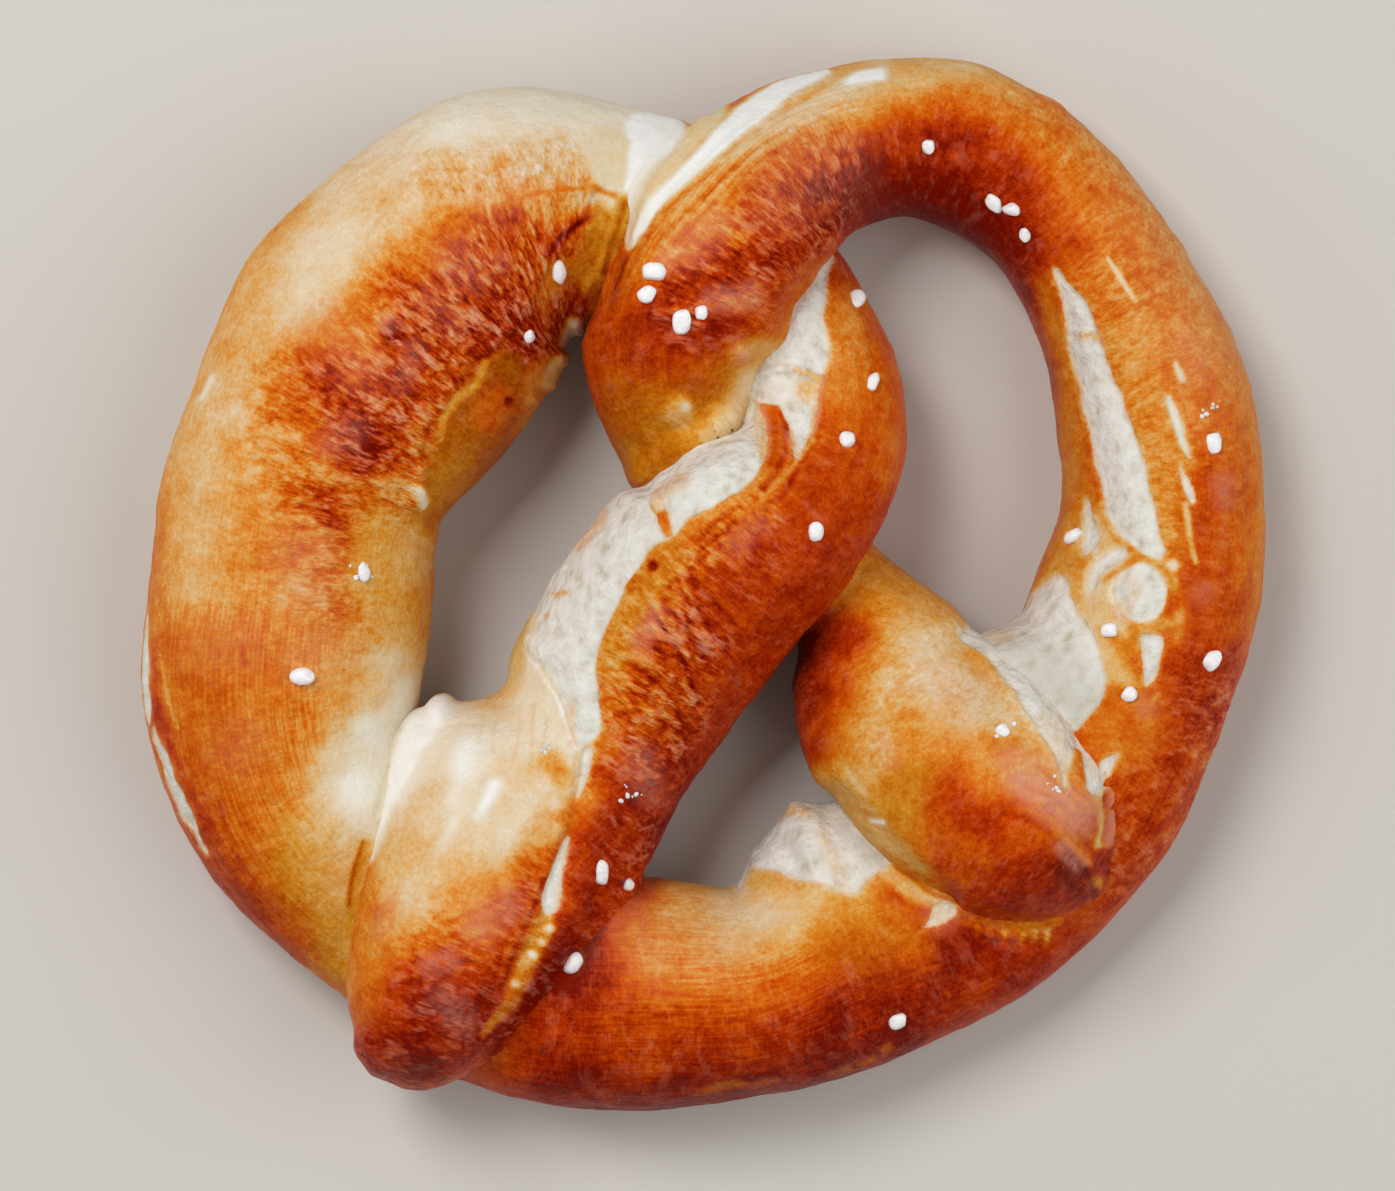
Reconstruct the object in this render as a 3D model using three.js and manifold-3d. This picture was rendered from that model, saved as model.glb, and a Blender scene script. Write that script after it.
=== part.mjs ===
// A soft pretzel: one rope of baked dough, laid in a loop, with its two ends twisted round each other and
// pressed down on the loop. It lies flat on its underside, and coarse salt grains are baked on to its top.
//
// Millimetres, +Z up. The origin is on the table, under the middle of the outline. The twist is at +Y.
import * as THREE from "three";
import { mergeVertices } from "three/addons/utils/BufferGeometryUtils.js";
import Module from "manifold-3d";

// ---- Driving dimensions, mm -------------------------------------------------------------------------
const RING_STEP = 3.7; // distance between two rings of the rope's skin
const SIDES = 32; // points round a ring
const TOP_CROWDING = 0.25; // how much closer the points lie on top of the rope than below it
const CHORD = 9; // a ring faces along the chord between the points this far before and after it
const BELLY = 0.46; // the rope is widest at this share of its height
const TIP_ROUND = [11, 12]; // the length over which each end rounds off
const TIP_STEPS = [0.4, 1.7]; // closer rings at each end
const SPLIT_EDGE = 1.6; // width of the slope from the crust down into a split
const GRAIN_SUNK = 0.3; // share of a salt grain's height that is sunk in the crust

const CRUST_COLOUR = 0xb5632a;
const CRUST_ROUGHNESS = 0.5;

// The rope, from one end to the other. Each station: x, y, half width, height of the top, height of the
// foot. A foot below zero is pressed flat on the table; one above it rides on the strand underneath.
const ROPE = [
  // left arm: its end hangs over the loop's rim, then it rises over the twist
  [-40, -66.5, 8, 27, 4],
  [-36, -55.5, 11.5, 33, 9],
  [-30.5, -43.5, 15, 34, 8],
  [-23.5, -31, 18, 31, 1],
  [-15.2, -22.5, 14, 30, 0],
  [-11, -13.5, 15, 31, 0],
  [-0.7, 0.7, 15.3, 36, 5],
  [8, 10, 14.5, 37, 9],
  // the turn on the right of the twist, then down under the other strand
  [14, 21.5, 13.5, 28, 0],
  [10.6, 34.2, 12.1, 25, -3],
  [-0.5, 45, 13.5, 22, -4],
  [-12, 48.5, 14, 26, -5],
  // left side of the loop, the thickest stretch
  [-26.3, 47, 18.9, 31, -6],
  [-42, 31.5, 21.4, 33, -6],
  [-52.2, 14, 18.7, 32, -6],
  [-55, -2, 19, 31, -6],
  [-56, -15.5, 18.5, 29, -6],
  [-52.5, -29.5, 16, 26, -5],
  // bottom of the loop, under both ends
  [-40.6, -43.1, 13.9, 22, -4],
  [-26, -53, 14.5, 24, -4],
  [-8, -54.5, 15.5, 27, -5],
  [7.5, -54, 14, 27, -5],
  [20.7, -48.5, 15.7, 24, -4],
  [35, -42.9, 14, 22, -4],
  [47.3, -32.3, 13.7, 22, -4],
  // right side of the loop
  [54.2, -19.8, 14, 24, -4],
  [58.5, -4.5, 15, 26, -5],
  [61.5, 10.5, 13.5, 26, -5],
  [60, 24.5, 13, 25, -5],
  [54.5, 39, 11.5, 24, -5],
  [46.5, 51, 11, 22, -5],
  [35, 58.5, 11, 21, -5],
  // over the left strand, then down under the left arm
  [24.5, 59.5, 10.5, 23, -4],
  [13.3, 55.8, 11.4, 29, 2],
  [6, 48.5, 14, 35, 8],
  [-1.5, 37, 13.5, 36, 7],
  [-3.5, 26.5, 11.5, 33, 3],
  [3.5, 13, 9, 20, -4],
  // right arm, which swells towards its end on the loop
  [18, -1, 8, 22, -3],
  [23, -9, 12, 27, 0],
  [27, -18, 14.5, 31, 3],
  [35, -26.5, 15.5, 34, 8],
  [44.5, -34.5, 12, 33, 10],
  [51.5, -41, 9, 28, 8],
];

// The rope is cut here, away from every crossing, into lengths that don't meet themselves.
const CUT_STATIONS = [15, 27.5];

// Dough that swelled into the gaps beside a crossing. Each: station, side in degrees round the rope
// (0 is the left of the way it runs, 90 the top), push outwards, reach along the rope.
const SWELLINGS = [
  [10.9, 165, 1.5, 9],
  [22.3, 10, 4.5, 9],
  [25.2, 20, 5, 8],
  [17.5, 10, 3, 9],
  [3, 15, 2, 6],
];
const SWELLING_SPREAD = 60; // degrees round the rope
const SWELLING_RISE = 0.4; // how much of a swelling goes upwards

// Where the crust tore open in the oven. Each: first and last station, depth, and the tear's course from
// above as x, y and half width.
const SPLITS = [
  { from: 3.4, to: 9.6, depth: 1.3, course: [
    [16.5, 40, 1.5], [13, 32, 3.5], [9.5, 24.5, 3.5], [4.5, 17.5, 4], [-1.5, 11.5, 4.5],
    [-8, 5.5, 5], [-13.5, -2, 5], [-17, -10, 3.5], [-16, -18, 2],
  ] },
  { from: 25.6, to: 30, depth: 1.2, course: [
    [48.5, 40, 1], [51, 31.5, 2.5], [53.5, 22, 3], [57, 12.5, 3.5], [59, 4.5, 2.5],
  ] },
  { from: 24, to: 26.6, depth: 0.8, course: [[57.5, -0.5, 4.5], [47.5, -9.5, 6]] },
  { from: 38, to: 42.8, depth: 1.2, course: [
    [36.5, -7.5, 1], [41, -13.5, 2], [45.5, -19.5, 2.5], [50.5, -25.5, 2], [53.5, -31.5, 1],
  ] },
];

// Salt, from above: x, y, width, length and turn in degrees.
const SALT = [
  [-19, 41.5, 2, 3.3, 0], [-23, 33, 1.8, 1.8, 20], [-6.3, 41.6, 3.7, 2.7, 0], [-7.2, 38.7, 2.7, 2.4, 10],
  [-2.7, 34.8, 2.4, 3.5, 0], [-0.1, 36.2, 1.7, 2, 0], [30.1, 58.3, 1.7, 2, 0], [38.6, 50.6, 2, 3, 30],
  [41.3, 50, 2, 2, 0], [43, 46.6, 1.5, 2, 0], [21.3, 38.3, 2.5, 3.5, -35], [22.7, 27, 1.8, 3, -15],
  [19.2, 19.3, 2.2, 2.2, 0], [15.2, 7.2, 2.2, 2.7, 0], [68.1, 18.9, 2.2, 3, 0], [49.3, 6.5, 3, 2, 30],
  [54.3, -6.1, 2.2, 1.8, 0], [56.8, -14.5, 2.2, 2.2, 0], [67.8, -10.1, 2.4, 3, -40],
  [-45.1, 1.7, 1.8, 2.7, 0], [-53.3, -12.1, 3.5, 2.5, 0], [-13.3, -38.3, 2, 3.2, 0],
  [-9.6, -39.9, 2, 2, 0], [-17, -50.3, 2.8, 2.9, 0], [26.1, -57.9, 2.5, 2.5, 0],
];
const GRAIN_HEIGHT = 0.8; // of its width
const GRAIN_SEED = 7;
const GRAIN_UNEVEN = 0.24; // how far its corners stray, as a share of its size
const GRAIN_FILL = 1.1; // makes up for the flats between its corners

const UP = new THREE.Vector3(0, 0, 1);
const ABOVE = 100; // a height clear above everything

// ---- The rope ---------------------------------------------------------------------------------------

function curveThrough(points) {
  return new THREE.CatmullRomCurve3(points, false, "catmullrom", 0.5);
}

const path = curveThrough(ROPE.map(([x, y]) => new THREE.Vector3(x, y, 0)));
const girth = curveThrough(
  ROPE.map(([, , halfWidth, top, foot]) => new THREE.Vector3(halfWidth, top, foot)));
path.arcLengthDivisions = 4000;
const ropeLength = path.getLength();

// A share of the full radius: 1 along the rope, and a quarter circle down to 0 at an end.
function tipShare(distance, round) {
  const left = Math.max(0, 1 - distance / round);
  return Math.sqrt(Math.max(0, 1 - left * left));
}

// Everything that a ring of the skin needs to know, at the distance s from the rope's first end.
function ringAt(s) {
  const u = s / ropeLength;
  const t = path.getUtoTmapping(u);
  const centre = path.getPoint(t);
  const ahead = path.getPointAt(Math.min(1, u + CHORD / ropeLength));
  const behind = path.getPointAt(Math.max(0, u - CHORD / ropeLength));
  const along = ahead.sub(behind).normalize();
  const { x: halfWidth, y: top, z: foot } = girth.getPoint(t);
  return {
    s, station: t * (ROPE.length - 1), centre, left: new THREE.Vector3(-along.y, along.x, 0),
    halfWidth, top, foot,
    share: Math.min(tipShare(s, TIP_ROUND[0]), tipShare(ropeLength - s, TIP_ROUND[1])),
  };
}

// The distance along the rope of a station, by halving.
function distanceOfStation(station) {
  let low = 0;
  let high = 1;
  while (high - low > 1e-6) {
    const half = (low + high) / 2;
    if (path.getUtoTmapping(half) * (ROPE.length - 1) < station) low = half;
    else high = half;
  }
  return low * ropeLength;
}

const swellings = SWELLINGS.map(([station, side, push, reach]) =>
  ({ at: distanceOfStation(station), side, push, reach }));

// How far the dough swelled out at a place on the skin: a bell curve along and round the rope.
function swelling(s, angle) {
  return swellings.reduce((sum, { at, side, push, reach }) => {
    const turn = THREE.MathUtils.euclideanModulo(THREE.MathUtils.radToDeg(angle) - side + 180, 360) - 180;
    return sum + push * Math.exp(-(((s - at) / reach) ** 2) - (turn / SWELLING_SPREAD) ** 2);
  }, 0);
}

// The distance from a point to a tear's edge, negative inside: the least over its tapering stretches.
function distanceToTear(x, y, course) {
  let least = Infinity;
  course.slice(1).forEach(([bx, by, bHalf], i) => {
    const [ax, ay, aHalf] = course[i];
    const [dx, dy] = [bx - ax, by - ay];
    const share = THREE.MathUtils.clamp(((x - ax) * dx + (y - ay) * dy) / (dx * dx + dy * dy), 0, 1);
    const gap = Math.hypot(x - ax - share * dx, y - ay - share * dy);
    least = Math.min(least, gap - THREE.MathUtils.lerp(aHalf, bHalf, share));
  });
  return least;
}

// How deep the skin lies below the crust at a place, 0 away from the tears.
function tearDepth(x, y, station) {
  return SPLITS.reduce((deepest, { from, to, depth, course }) => {
    if (station < from || station > to) return deepest;
    const inside = THREE.MathUtils.smoothstep(SPLIT_EDGE - distanceToTear(x, y, course), 0, 2 * SPLIT_EDGE);
    return Math.max(deepest, depth * inside);
  }, 0);
}

// A point of the skin: half an ellipse above the belly and half of one below it, pressed flat on the table.
function skinPoint(ring, angle) {
  const { centre, left, halfWidth, top, foot, share } = ring;
  const [cos, sin] = [Math.cos(angle), Math.sin(angle)];
  const belly = foot + (top - foot) * BELLY;
  const swell = swelling(ring.s, angle) * share;
  let out = (halfWidth * share + swell) * cos;
  let rise = ((sin > 0 ? top - belly : belly - foot) * share + SWELLING_RISE * swell) * sin;
  if (sin > 0) {
    const inset = tearDepth(centre.x + left.x * out, centre.y + left.y * out, ring.station);
    const kept = 1 - inset / Math.max(Math.hypot(out, rise), 2 * inset + 1e-6);
    out *= kept;
    rise *= kept;
  }
  return [centre.x + left.x * out, centre.y + left.y * out, Math.max(0, belly + rise)];
}

// The angles round a ring, closer together on top.
const angles = Array.from({ length: SIDES }, (_, i) => {
  const even = (2 * Math.PI * i) / SIDES;
  return even + TOP_CROWDING * Math.cos(even);
});

// A closed length of rope between two rings. An end of the whole rope closes on a point, a cut on a flat.
function ropeLengthGeometry(rings) {
  const positions = [];
  const faces = [];
  const skinned = rings.filter((ring) => ring.share > 0);
  skinned.forEach((ring) => angles.forEach((angle) => positions.push(...skinPoint(ring, angle))));
  const at = (i, j) => i * SIDES + (j % SIDES);
  for (let i = 0; i + 1 < skinned.length; i++)
    for (let j = 0; j < SIDES; j++)
      faces.push(at(i, j), at(i, j + 1), at(i + 1, j), at(i + 1, j), at(i, j + 1), at(i + 1, j + 1));
  const lastRow = skinned.length - 1;
  const firstPole = positions.length / 3;
  [rings[0], rings[rings.length - 1]].forEach(({ centre, foot, top }) =>
    positions.push(centre.x, centre.y, foot + (top - foot) * BELLY));
  for (let j = 0; j < SIDES; j++) {
    faces.push(firstPole, at(0, j + 1), at(0, j));
    faces.push(firstPole + 1, at(lastRow, j), at(lastRow, j + 1));
  }
  const geometry = new THREE.BufferGeometry();
  geometry.setAttribute("position", new THREE.Float32BufferAttribute(positions, 3));
  geometry.setIndex(faces);
  return geometry;
}

// ---- Solids -----------------------------------------------------------------------------------------

const wasm = await Module();
wasm.setup();

function solidOf(geometry) {
  const bare = geometry.clone();
  bare.deleteAttribute("normal");
  bare.deleteAttribute("uv");
  const merged = mergeVertices(bare, 1e-4);
  return new wasm.Manifold(new wasm.Mesh({
    numProp: 3,
    vertProperties: new Float32Array(merged.attributes.position.array),
    triVerts: new Uint32Array(merged.index.array),
  }));
}

function geometryOf(solid) {
  const { vertProperties, triVerts } = solid.getMesh();
  const geometry = new THREE.BufferGeometry();
  geometry.setAttribute("position", new THREE.Float32BufferAttribute(vertProperties, 3));
  geometry.setIndex(new THREE.Uint32BufferAttribute(triVerts, 1));
  return geometry;
}

// The whole rope: its lengths share the ring at each cut, so that joining them closes the cuts.
function doughSolid() {
  const count = Math.round(ropeLength / RING_STEP);
  const even = Array.from({ length: count + 1 }, (_, i) => (ropeLength * i) / count);
  const closer = TIP_STEPS.flatMap((step) => [step, ropeLength - step]);
  const distances = [...even, ...closer].sort((a, b) => a - b);
  const rings = distances.map(ringAt);
  const cuts = CUT_STATIONS.map((station) => rings.findIndex((ring) => ring.station > station));
  cuts.unshift(0);
  cuts.push(rings.length - 1);
  return cuts.slice(1)
    .map((end, i) => solidOf(ropeLengthGeometry(rings.slice(cuts[i], end + 1))))
    .reduce((whole, length) => whole.add(length));
}

// ---- Salt -------------------------------------------------------------------------------------------

// A small repeatable random draw between 0 and 1.
let drawn = GRAIN_SEED;
function draw() {
  drawn = (drawn * 16807) % 2147483647;
  return drawn / 2147483647;
}

// A worn crystal: a rough block with twelve uneven corners, sunk in the crust where it lies.
function grainGeometry([x, y, width, length, turn], doughMesh) {
  const down = new THREE.Raycaster(new THREE.Vector3(x, y, ABOVE), UP.clone().negate());
  const hit = down.intersectObject(doughMesh)[0];
  const height = GRAIN_HEIGHT * width;
  const geometry = mergeVertices(new THREE.IcosahedronGeometry(0.5, 0).deleteAttribute("normal")
    .deleteAttribute("uv"), 1e-4);
  const corners = geometry.attributes.position;
  for (let i = 0; i < corners.count; i++) {
    const uneven = 1 + GRAIN_UNEVEN * (draw() - 0.5);
    corners.setXYZ(i, corners.getX(i) * uneven, corners.getY(i) * uneven, corners.getZ(i) * uneven);
  }
  geometry.scale(width * GRAIN_FILL, length * GRAIN_FILL, height * GRAIN_FILL);
  geometry.rotateZ(THREE.MathUtils.degToRad(turn));
  geometry.applyQuaternion(new THREE.Quaternion().setFromUnitVectors(UP, hit.face.normal));
  const lifted = hit.point.clone().addScaledVector(hit.face.normal, height * (0.5 - GRAIN_SUNK));
  geometry.translate(lifted.x, lifted.y, lifted.z);
  return geometry;
}

// ---- The part ---------------------------------------------------------------------------------------

const dough = doughSolid();
const doughMesh = new THREE.Mesh(geometryOf(dough), new THREE.MeshBasicMaterial());
const salted = SALT.map((grain) => solidOf(grainGeometry(grain, doughMesh)))
  .reduce((whole, grain) => whole.add(grain), dough);

const pretzel = new THREE.Mesh(
  geometryOf(salted),
  new THREE.MeshStandardMaterial({ color: CRUST_COLOUR, roughness: CRUST_ROUGHNESS, metalness: 0 }),
);
pretzel.name = "pretzel";

const part = new THREE.Group();
part.add(pretzel);
export default part;
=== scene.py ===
# %% [markdown]
# # A soft pretzel
#
# A soft pretzel is one rope of dough. Its two ends are crossed twice and pressed down on the loop that they
# make, it is dipped in lye, scattered with coarse salt and baked flat on a tray. Everything that gives it
# its looks happens on one skin: the lye turns the crust a deep red brown where the heat reaches it, the
# crust wrinkles while it dries, and it tears open over the white crumb where the dough still swells.
#
# So this lesson works out that one skin with numpy, and keeps for every point of it how brown it is, how
# wrinkled, and how far it is from a tear. The material only has to read those numbers.

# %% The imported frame
import itertools
import math

import bmesh
import bpy
import numpy as np
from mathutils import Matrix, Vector


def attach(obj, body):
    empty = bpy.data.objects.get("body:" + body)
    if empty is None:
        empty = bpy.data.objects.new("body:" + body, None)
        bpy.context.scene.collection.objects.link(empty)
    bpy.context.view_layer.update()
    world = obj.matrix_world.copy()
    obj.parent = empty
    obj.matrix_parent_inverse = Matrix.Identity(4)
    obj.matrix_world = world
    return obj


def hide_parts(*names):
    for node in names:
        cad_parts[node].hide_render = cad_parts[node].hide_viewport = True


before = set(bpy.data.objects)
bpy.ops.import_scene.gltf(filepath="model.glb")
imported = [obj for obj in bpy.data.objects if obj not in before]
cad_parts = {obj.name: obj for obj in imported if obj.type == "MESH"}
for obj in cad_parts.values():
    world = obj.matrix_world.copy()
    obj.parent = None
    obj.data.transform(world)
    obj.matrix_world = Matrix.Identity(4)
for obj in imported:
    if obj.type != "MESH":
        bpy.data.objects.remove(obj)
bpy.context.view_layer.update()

MM = 0.001

# %% [markdown]
# ## The rope
#
# The rope's line was laid by hand, so no formula gives it. A short list of stations does: at each one the
# place of the rope's middle on the table, half its width, and the heights of its top and its foot. Smooth
# curves through the stations give everything between them. A foot below zero means that the dough is
# pressed flat on the tray, and one above it that the strand rides on another.

# %% Stations of the rope, mm
ROPE = np.array([
    # x, y, half width, top, foot: the left arm, from its tip up over the twist
    (-40, -66.5, 8, 27, 4), (-36, -55.5, 11.5, 33, 9), (-30.5, -43.5, 15, 34, 8), (-23.5, -31, 18, 31, 1),
    (-15.2, -22.5, 14, 30, 0), (-11, -13.5, 15, 31, 0), (-0.7, 0.7, 15.3, 36, 5), (8, 10, 14.5, 37, 9),
    # the turn on the right of the twist, and down under the other strand
    (14, 21.5, 13.5, 28, 0), (10.6, 34.2, 12.1, 25, -3), (-0.5, 45, 13.5, 22, -4), (-12, 48.5, 14, 26, -5),
    # the left side of the loop, the thickest stretch
    (-26.3, 47, 18.9, 31, -6), (-42, 31.5, 21.4, 33, -6), (-52.2, 14, 18.7, 32, -6), (-55, -2, 19, 31, -6),
    (-56, -15.5, 18.5, 29, -6), (-52.5, -29.5, 16, 26, -5),
    # the bottom of the loop, under both ends
    (-40.6, -43.1, 13.9, 22, -4), (-26, -53, 14.5, 24, -4), (-8, -54.5, 15.5, 27, -5),
    (7.5, -54, 14, 27, -5), (20.7, -48.5, 15.7, 24, -4), (35, -42.9, 14, 22, -4),
    (47.3, -32.3, 13.7, 22, -4),
    # the right side of the loop
    (54.2, -19.8, 14, 24, -4), (58.5, -4.5, 15, 26, -5), (61.5, 10.5, 13.5, 26, -5), (60, 24.5, 13, 25, -5),
    (54.5, 39, 11.5, 24, -5), (46.5, 51, 11, 22, -5), (35, 58.5, 11, 21, -5),
    # over the left strand, and down under the left arm
    (24.5, 59.5, 10.5, 23, -4), (13.3, 55.8, 11.4, 29, 2), (6, 48.5, 14, 35, 8), (-1.5, 37, 13.5, 36, 7),
    (-3.5, 26.5, 11.5, 33, 3), (3.5, 13, 9, 20, -4),
    # the right arm, which swells towards its end on the loop
    (18, -1, 8, 22, -3), (23, -9, 12, 27, 0), (27, -18, 14.5, 31, 3), (35, -26.5, 15.5, 34, 8),
    (44.5, -34.5, 12, 33, 10), (51.5, -41, 9, 28, 8),
], float)

# %% A smooth curve through the stations
def curve_at(t):
    """The five values at station number t. Between two stations it is a cubic, and its slope at each of
    them is half the step from the station before to the station after. Past an end the line would go
    straight on."""
    first, last = 2 * ROPE[0] - ROPE[1], 2 * ROPE[-1] - ROPE[-2]
    p = np.vstack([first, ROPE, last])
    i = np.clip(np.floor(t).astype(int), 0, len(ROPE) - 2)
    f = (t - i)[:, None]
    a, b, c, d = p[i], p[i + 1], p[i + 2], p[i + 3]
    return 0.5 * (2 * b + (c - a) * f + (2 * a - 5 * b + 4 * c - d) * f**2 + (3 * b - a - 3 * c + d) * f**3)


STATION = np.linspace(0, len(ROPE) - 1, 6001)
STEPS = np.linalg.norm(np.diff(curve_at(STATION)[:, :2], axis=0), axis=1)
DISTANCE = np.concatenate([[0], np.cumsum(STEPS)])
LENGTH = DISTANCE[-1]  # mm


def distance_of(station):
    """How far along the rope a station lies, mm: the steps up to it, added up."""
    return np.interp(station, STATION, DISTANCE)


print("the rope is %.0f mm long, over %d stations" % (LENGTH, len(ROPE)))

# %% Rings of the skin
CHORD = 9.0  # a ring faces along the chord between the points this far before and after it
BELLY = 0.46  # the rope is widest at this share of its height
TIP_ROUND = (11.0, 12.0)  # the length over which each end rounds off
SWELLINGS = [  # station, side in degrees (0 left, 90 top), push, reach: dough that swelled into a gap
    (10.9, 165, 1.5, 9), (22.3, 10, 4.5, 9), (25.2, 20, 5, 8), (17.5, 10, 3, 9), (3, 15, 2, 6),
]
SWELLING_SPREAD = 60.0  # degrees round the rope over which a swelling fades
SWELLING_RISE = 0.4  # how much of a swelling's push also lifts the skin


def rings(s):
    """What a cross-section needs at the distances s: the middle, the way to the left, half the width, the
    top, the foot, and the share of full size, which falls to nothing along a quarter circle at each end."""
    def middle(at):
        return curve_at(np.interp(np.clip(at, 0, LENGTH), DISTANCE, STATION))

    x, y, half, top, foot = middle(s).T
    along = middle(s + CHORD)[:, :2] - middle(s - CHORD)[:, :2]
    along /= np.linalg.norm(along, axis=1, keepdims=True)
    left = np.stack([-along[:, 1], along[:, 0]], axis=1)
    gone = np.maximum(np.clip(1 - s / TIP_ROUND[0], 0, 1), np.clip(1 - (LENGTH - s) / TIP_ROUND[1], 0, 1))
    return np.stack([x, y], axis=1), left, half, top, foot, np.sqrt(1 - gone**2)


def skin(s, angle):
    """The bare skin at distances s and angles round the rope: half an ellipse above the belly, half of
    another below it, pushed out by each swelling's bell curve and pressed flat where it would go below
    the table."""
    middle, left, half, top, foot, share = (v[:, None] for v in rings(s))
    belly = foot + BELLY * (top - foot)
    swell = 0
    for station, side, push, reach in SWELLINGS:
        turn = (np.degrees(angle) - side + 180) % 360 - 180
        along = (s[:, None] - distance_of(station)) / reach
        swell = swell + push * share * np.exp(-(along**2) - (turn[None] / SWELLING_SPREAD) ** 2)
    cos, sin = np.cos(angle)[None], np.sin(angle)[None]
    out = (half * share + swell) * cos
    rise = (np.where(sin > 0, top - belly, belly - foot) * share + SWELLING_RISE * swell) * sin
    flat = middle + left * out[..., None]
    return np.concatenate([flat, np.maximum(belly + rise, 0)[..., None]], axis=2)


print("a ring at the left side is %.0f mm wide" % (2 * rings(np.array([distance_of(13)]))[2][0]))

# %% [markdown]
# ## Noise
#
# Dough is uneven at every size: broad lumps, wrinkles, pores. All of it comes from one kind of noise,
# random heights on a lattice joined by smooth curves. Stretching the lattice along the rope turns lumps
# into the fine lines of a pulled skin, and squeezing it along the rope turns them into wrinkles.

# %% Lattice noise
def lattice(cell, seed):
    """A number from -1 to 1 for each whole-number cell, always the same one: its bits, multiplied and
    mixed."""
    n = cell[..., 0] * 374761393 + cell[..., 1] * 668265263 + cell[..., 2] * 1440662683 + seed * 1013904223
    n = (n ^ (n >> 13)) * 1274126177
    return ((n ^ (n >> 16)) & 0xFFFF) / 32767.5 - 1


def noise(points, size, seed=0):
    """Lumps about one size across: the lattice numbers round a point, weighted by an S-shaped curve."""
    p = points / np.asarray(size, float)
    cell = np.floor(p).astype(np.int64)
    f = p - cell
    f = f**3 * (f * (f * 6 - 15) + 10)
    total = 0
    for corner in itertools.product((0, 1), repeat=3):
        weight = np.prod(np.where(corner, f, 1 - f), axis=-1)
        total = total + weight * lattice(cell + np.array(corner), seed)
    return total


def rough(points, size, octaves=3, seed=0):
    """Noise with finer noise on it: each octave is half the size and half the height of the one before."""
    size = np.asarray(size, float)
    return sum(noise(points, size / 2**k, seed + 17 * k) / 2**k for k in range(octaves))


def smooth(x, low, high):
    """0 below low, 1 above high, and an S-shaped curve between."""
    t = np.clip((x - low) / (high - low), 0, 1)
    return t * t * (3 - 2 * t)


print("noise at the origin: %.3f" % rough(np.zeros((1, 3)), 5)[0])

# %% [markdown]
# ## Places on the skin
#
# Tears, wrinkled patches and browning are each given as a band: a few points with half widths, laid out on
# a plan of the pretzel. The plan is a sheet ruled in small squares, counted from its top left corner, and
# it shows what an eye 700 mm above the table sees, with lengths true 12 mm above it. So a place can be read
# off a real pretzel through a sheet of graph film.

# %% The plan, and bands on it
SQUARE = 0.133  # mm
PLAN_MIDDLE = np.array([702.0, 585.0])  # the square over the frame's own middle
EYE = np.array([-0.6, -1.4, 700.0])  # mm
PLAN_HEIGHT = 12.0  # mm above the table
ENDLESS = 1e4  # more than any distance here


def plan(points):
    """Where the points show on the plan, in squares: on the line from the eye through each, at the plan's
    height. The plan's second number runs down the sheet."""
    share = (EYE[2] - PLAN_HEIGHT) / (EYE[2] - points[..., 2:])
    flat = EYE[:2] + (points[..., :2] - EYE[:2]) * share
    return PLAN_MIDDLE + flat * np.array([1, -1]) / SQUARE


def band(at, course):
    """Signed distance in mm to a tapering band, negative inside: the least, over its stretches, of the
    distance to the stretch's line less the half width there."""
    least = np.full(at.shape[:-1], ENDLESS)
    if len(course) == 1:
        course = course * 2
    for (ax, ay, a_half), (bx, by, b_half) in zip(course, course[1:]):
        step = np.array([bx - ax, by - ay], float)
        off = at - np.array([ax, ay])
        share = np.clip(off @ step / max(step @ step, 1e-9), 0, 1)
        gap = np.linalg.norm(off - share[..., None] * step, axis=-1)
        least = np.minimum(least, gap - (a_half + (b_half - a_half) * share))
    return least * SQUARE


# %% An outline on the plan
FAR = 8.0  # mm; farther points all count as this far away


def outline(at, corners):
    """Signed distance in mm to a closed outline, negative inside. The corners are first cut at a quarter
    and at three quarters of each side, which rounds them. The distance is the least over the sides, and
    its sign comes from how often a line to the right of the point crosses them."""
    corners = np.array(corners, float)
    after = np.roll(corners, -1, axis=0)
    cuts = [0.75 * corners + 0.25 * after, 0.25 * corners + 0.75 * after]
    corners = np.stack(cuts, axis=1).reshape(-1, 2)
    reach = FAR / SQUARE
    near = ((at > corners.min(axis=0) - reach) & (at < corners.max(axis=0) + reach)).all(axis=-1)
    x, y = at[near].T
    least, inside = np.full(x.shape, ENDLESS), np.zeros(x.shape, bool)
    for (ax, ay), (bx, by) in zip(corners, np.roll(corners, -1, axis=0)):
        dx, dy = bx - ax, by - ay
        share = np.clip(((x - ax) * dx + (y - ay) * dy) / (dx * dx + dy * dy + 1e-9), 0, 1)
        least = np.minimum(least, np.hypot(x - ax - share * dx, y - ay - share * dy))
        if ay != by:
            inside ^= ((ay > y) != (by > y)) & (x < ax + dx * (y - ay) / dy)
    away = np.full(at.shape[:-1], FAR)
    away[near] = np.where(inside, -least, least) * SQUARE
    return away


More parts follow.
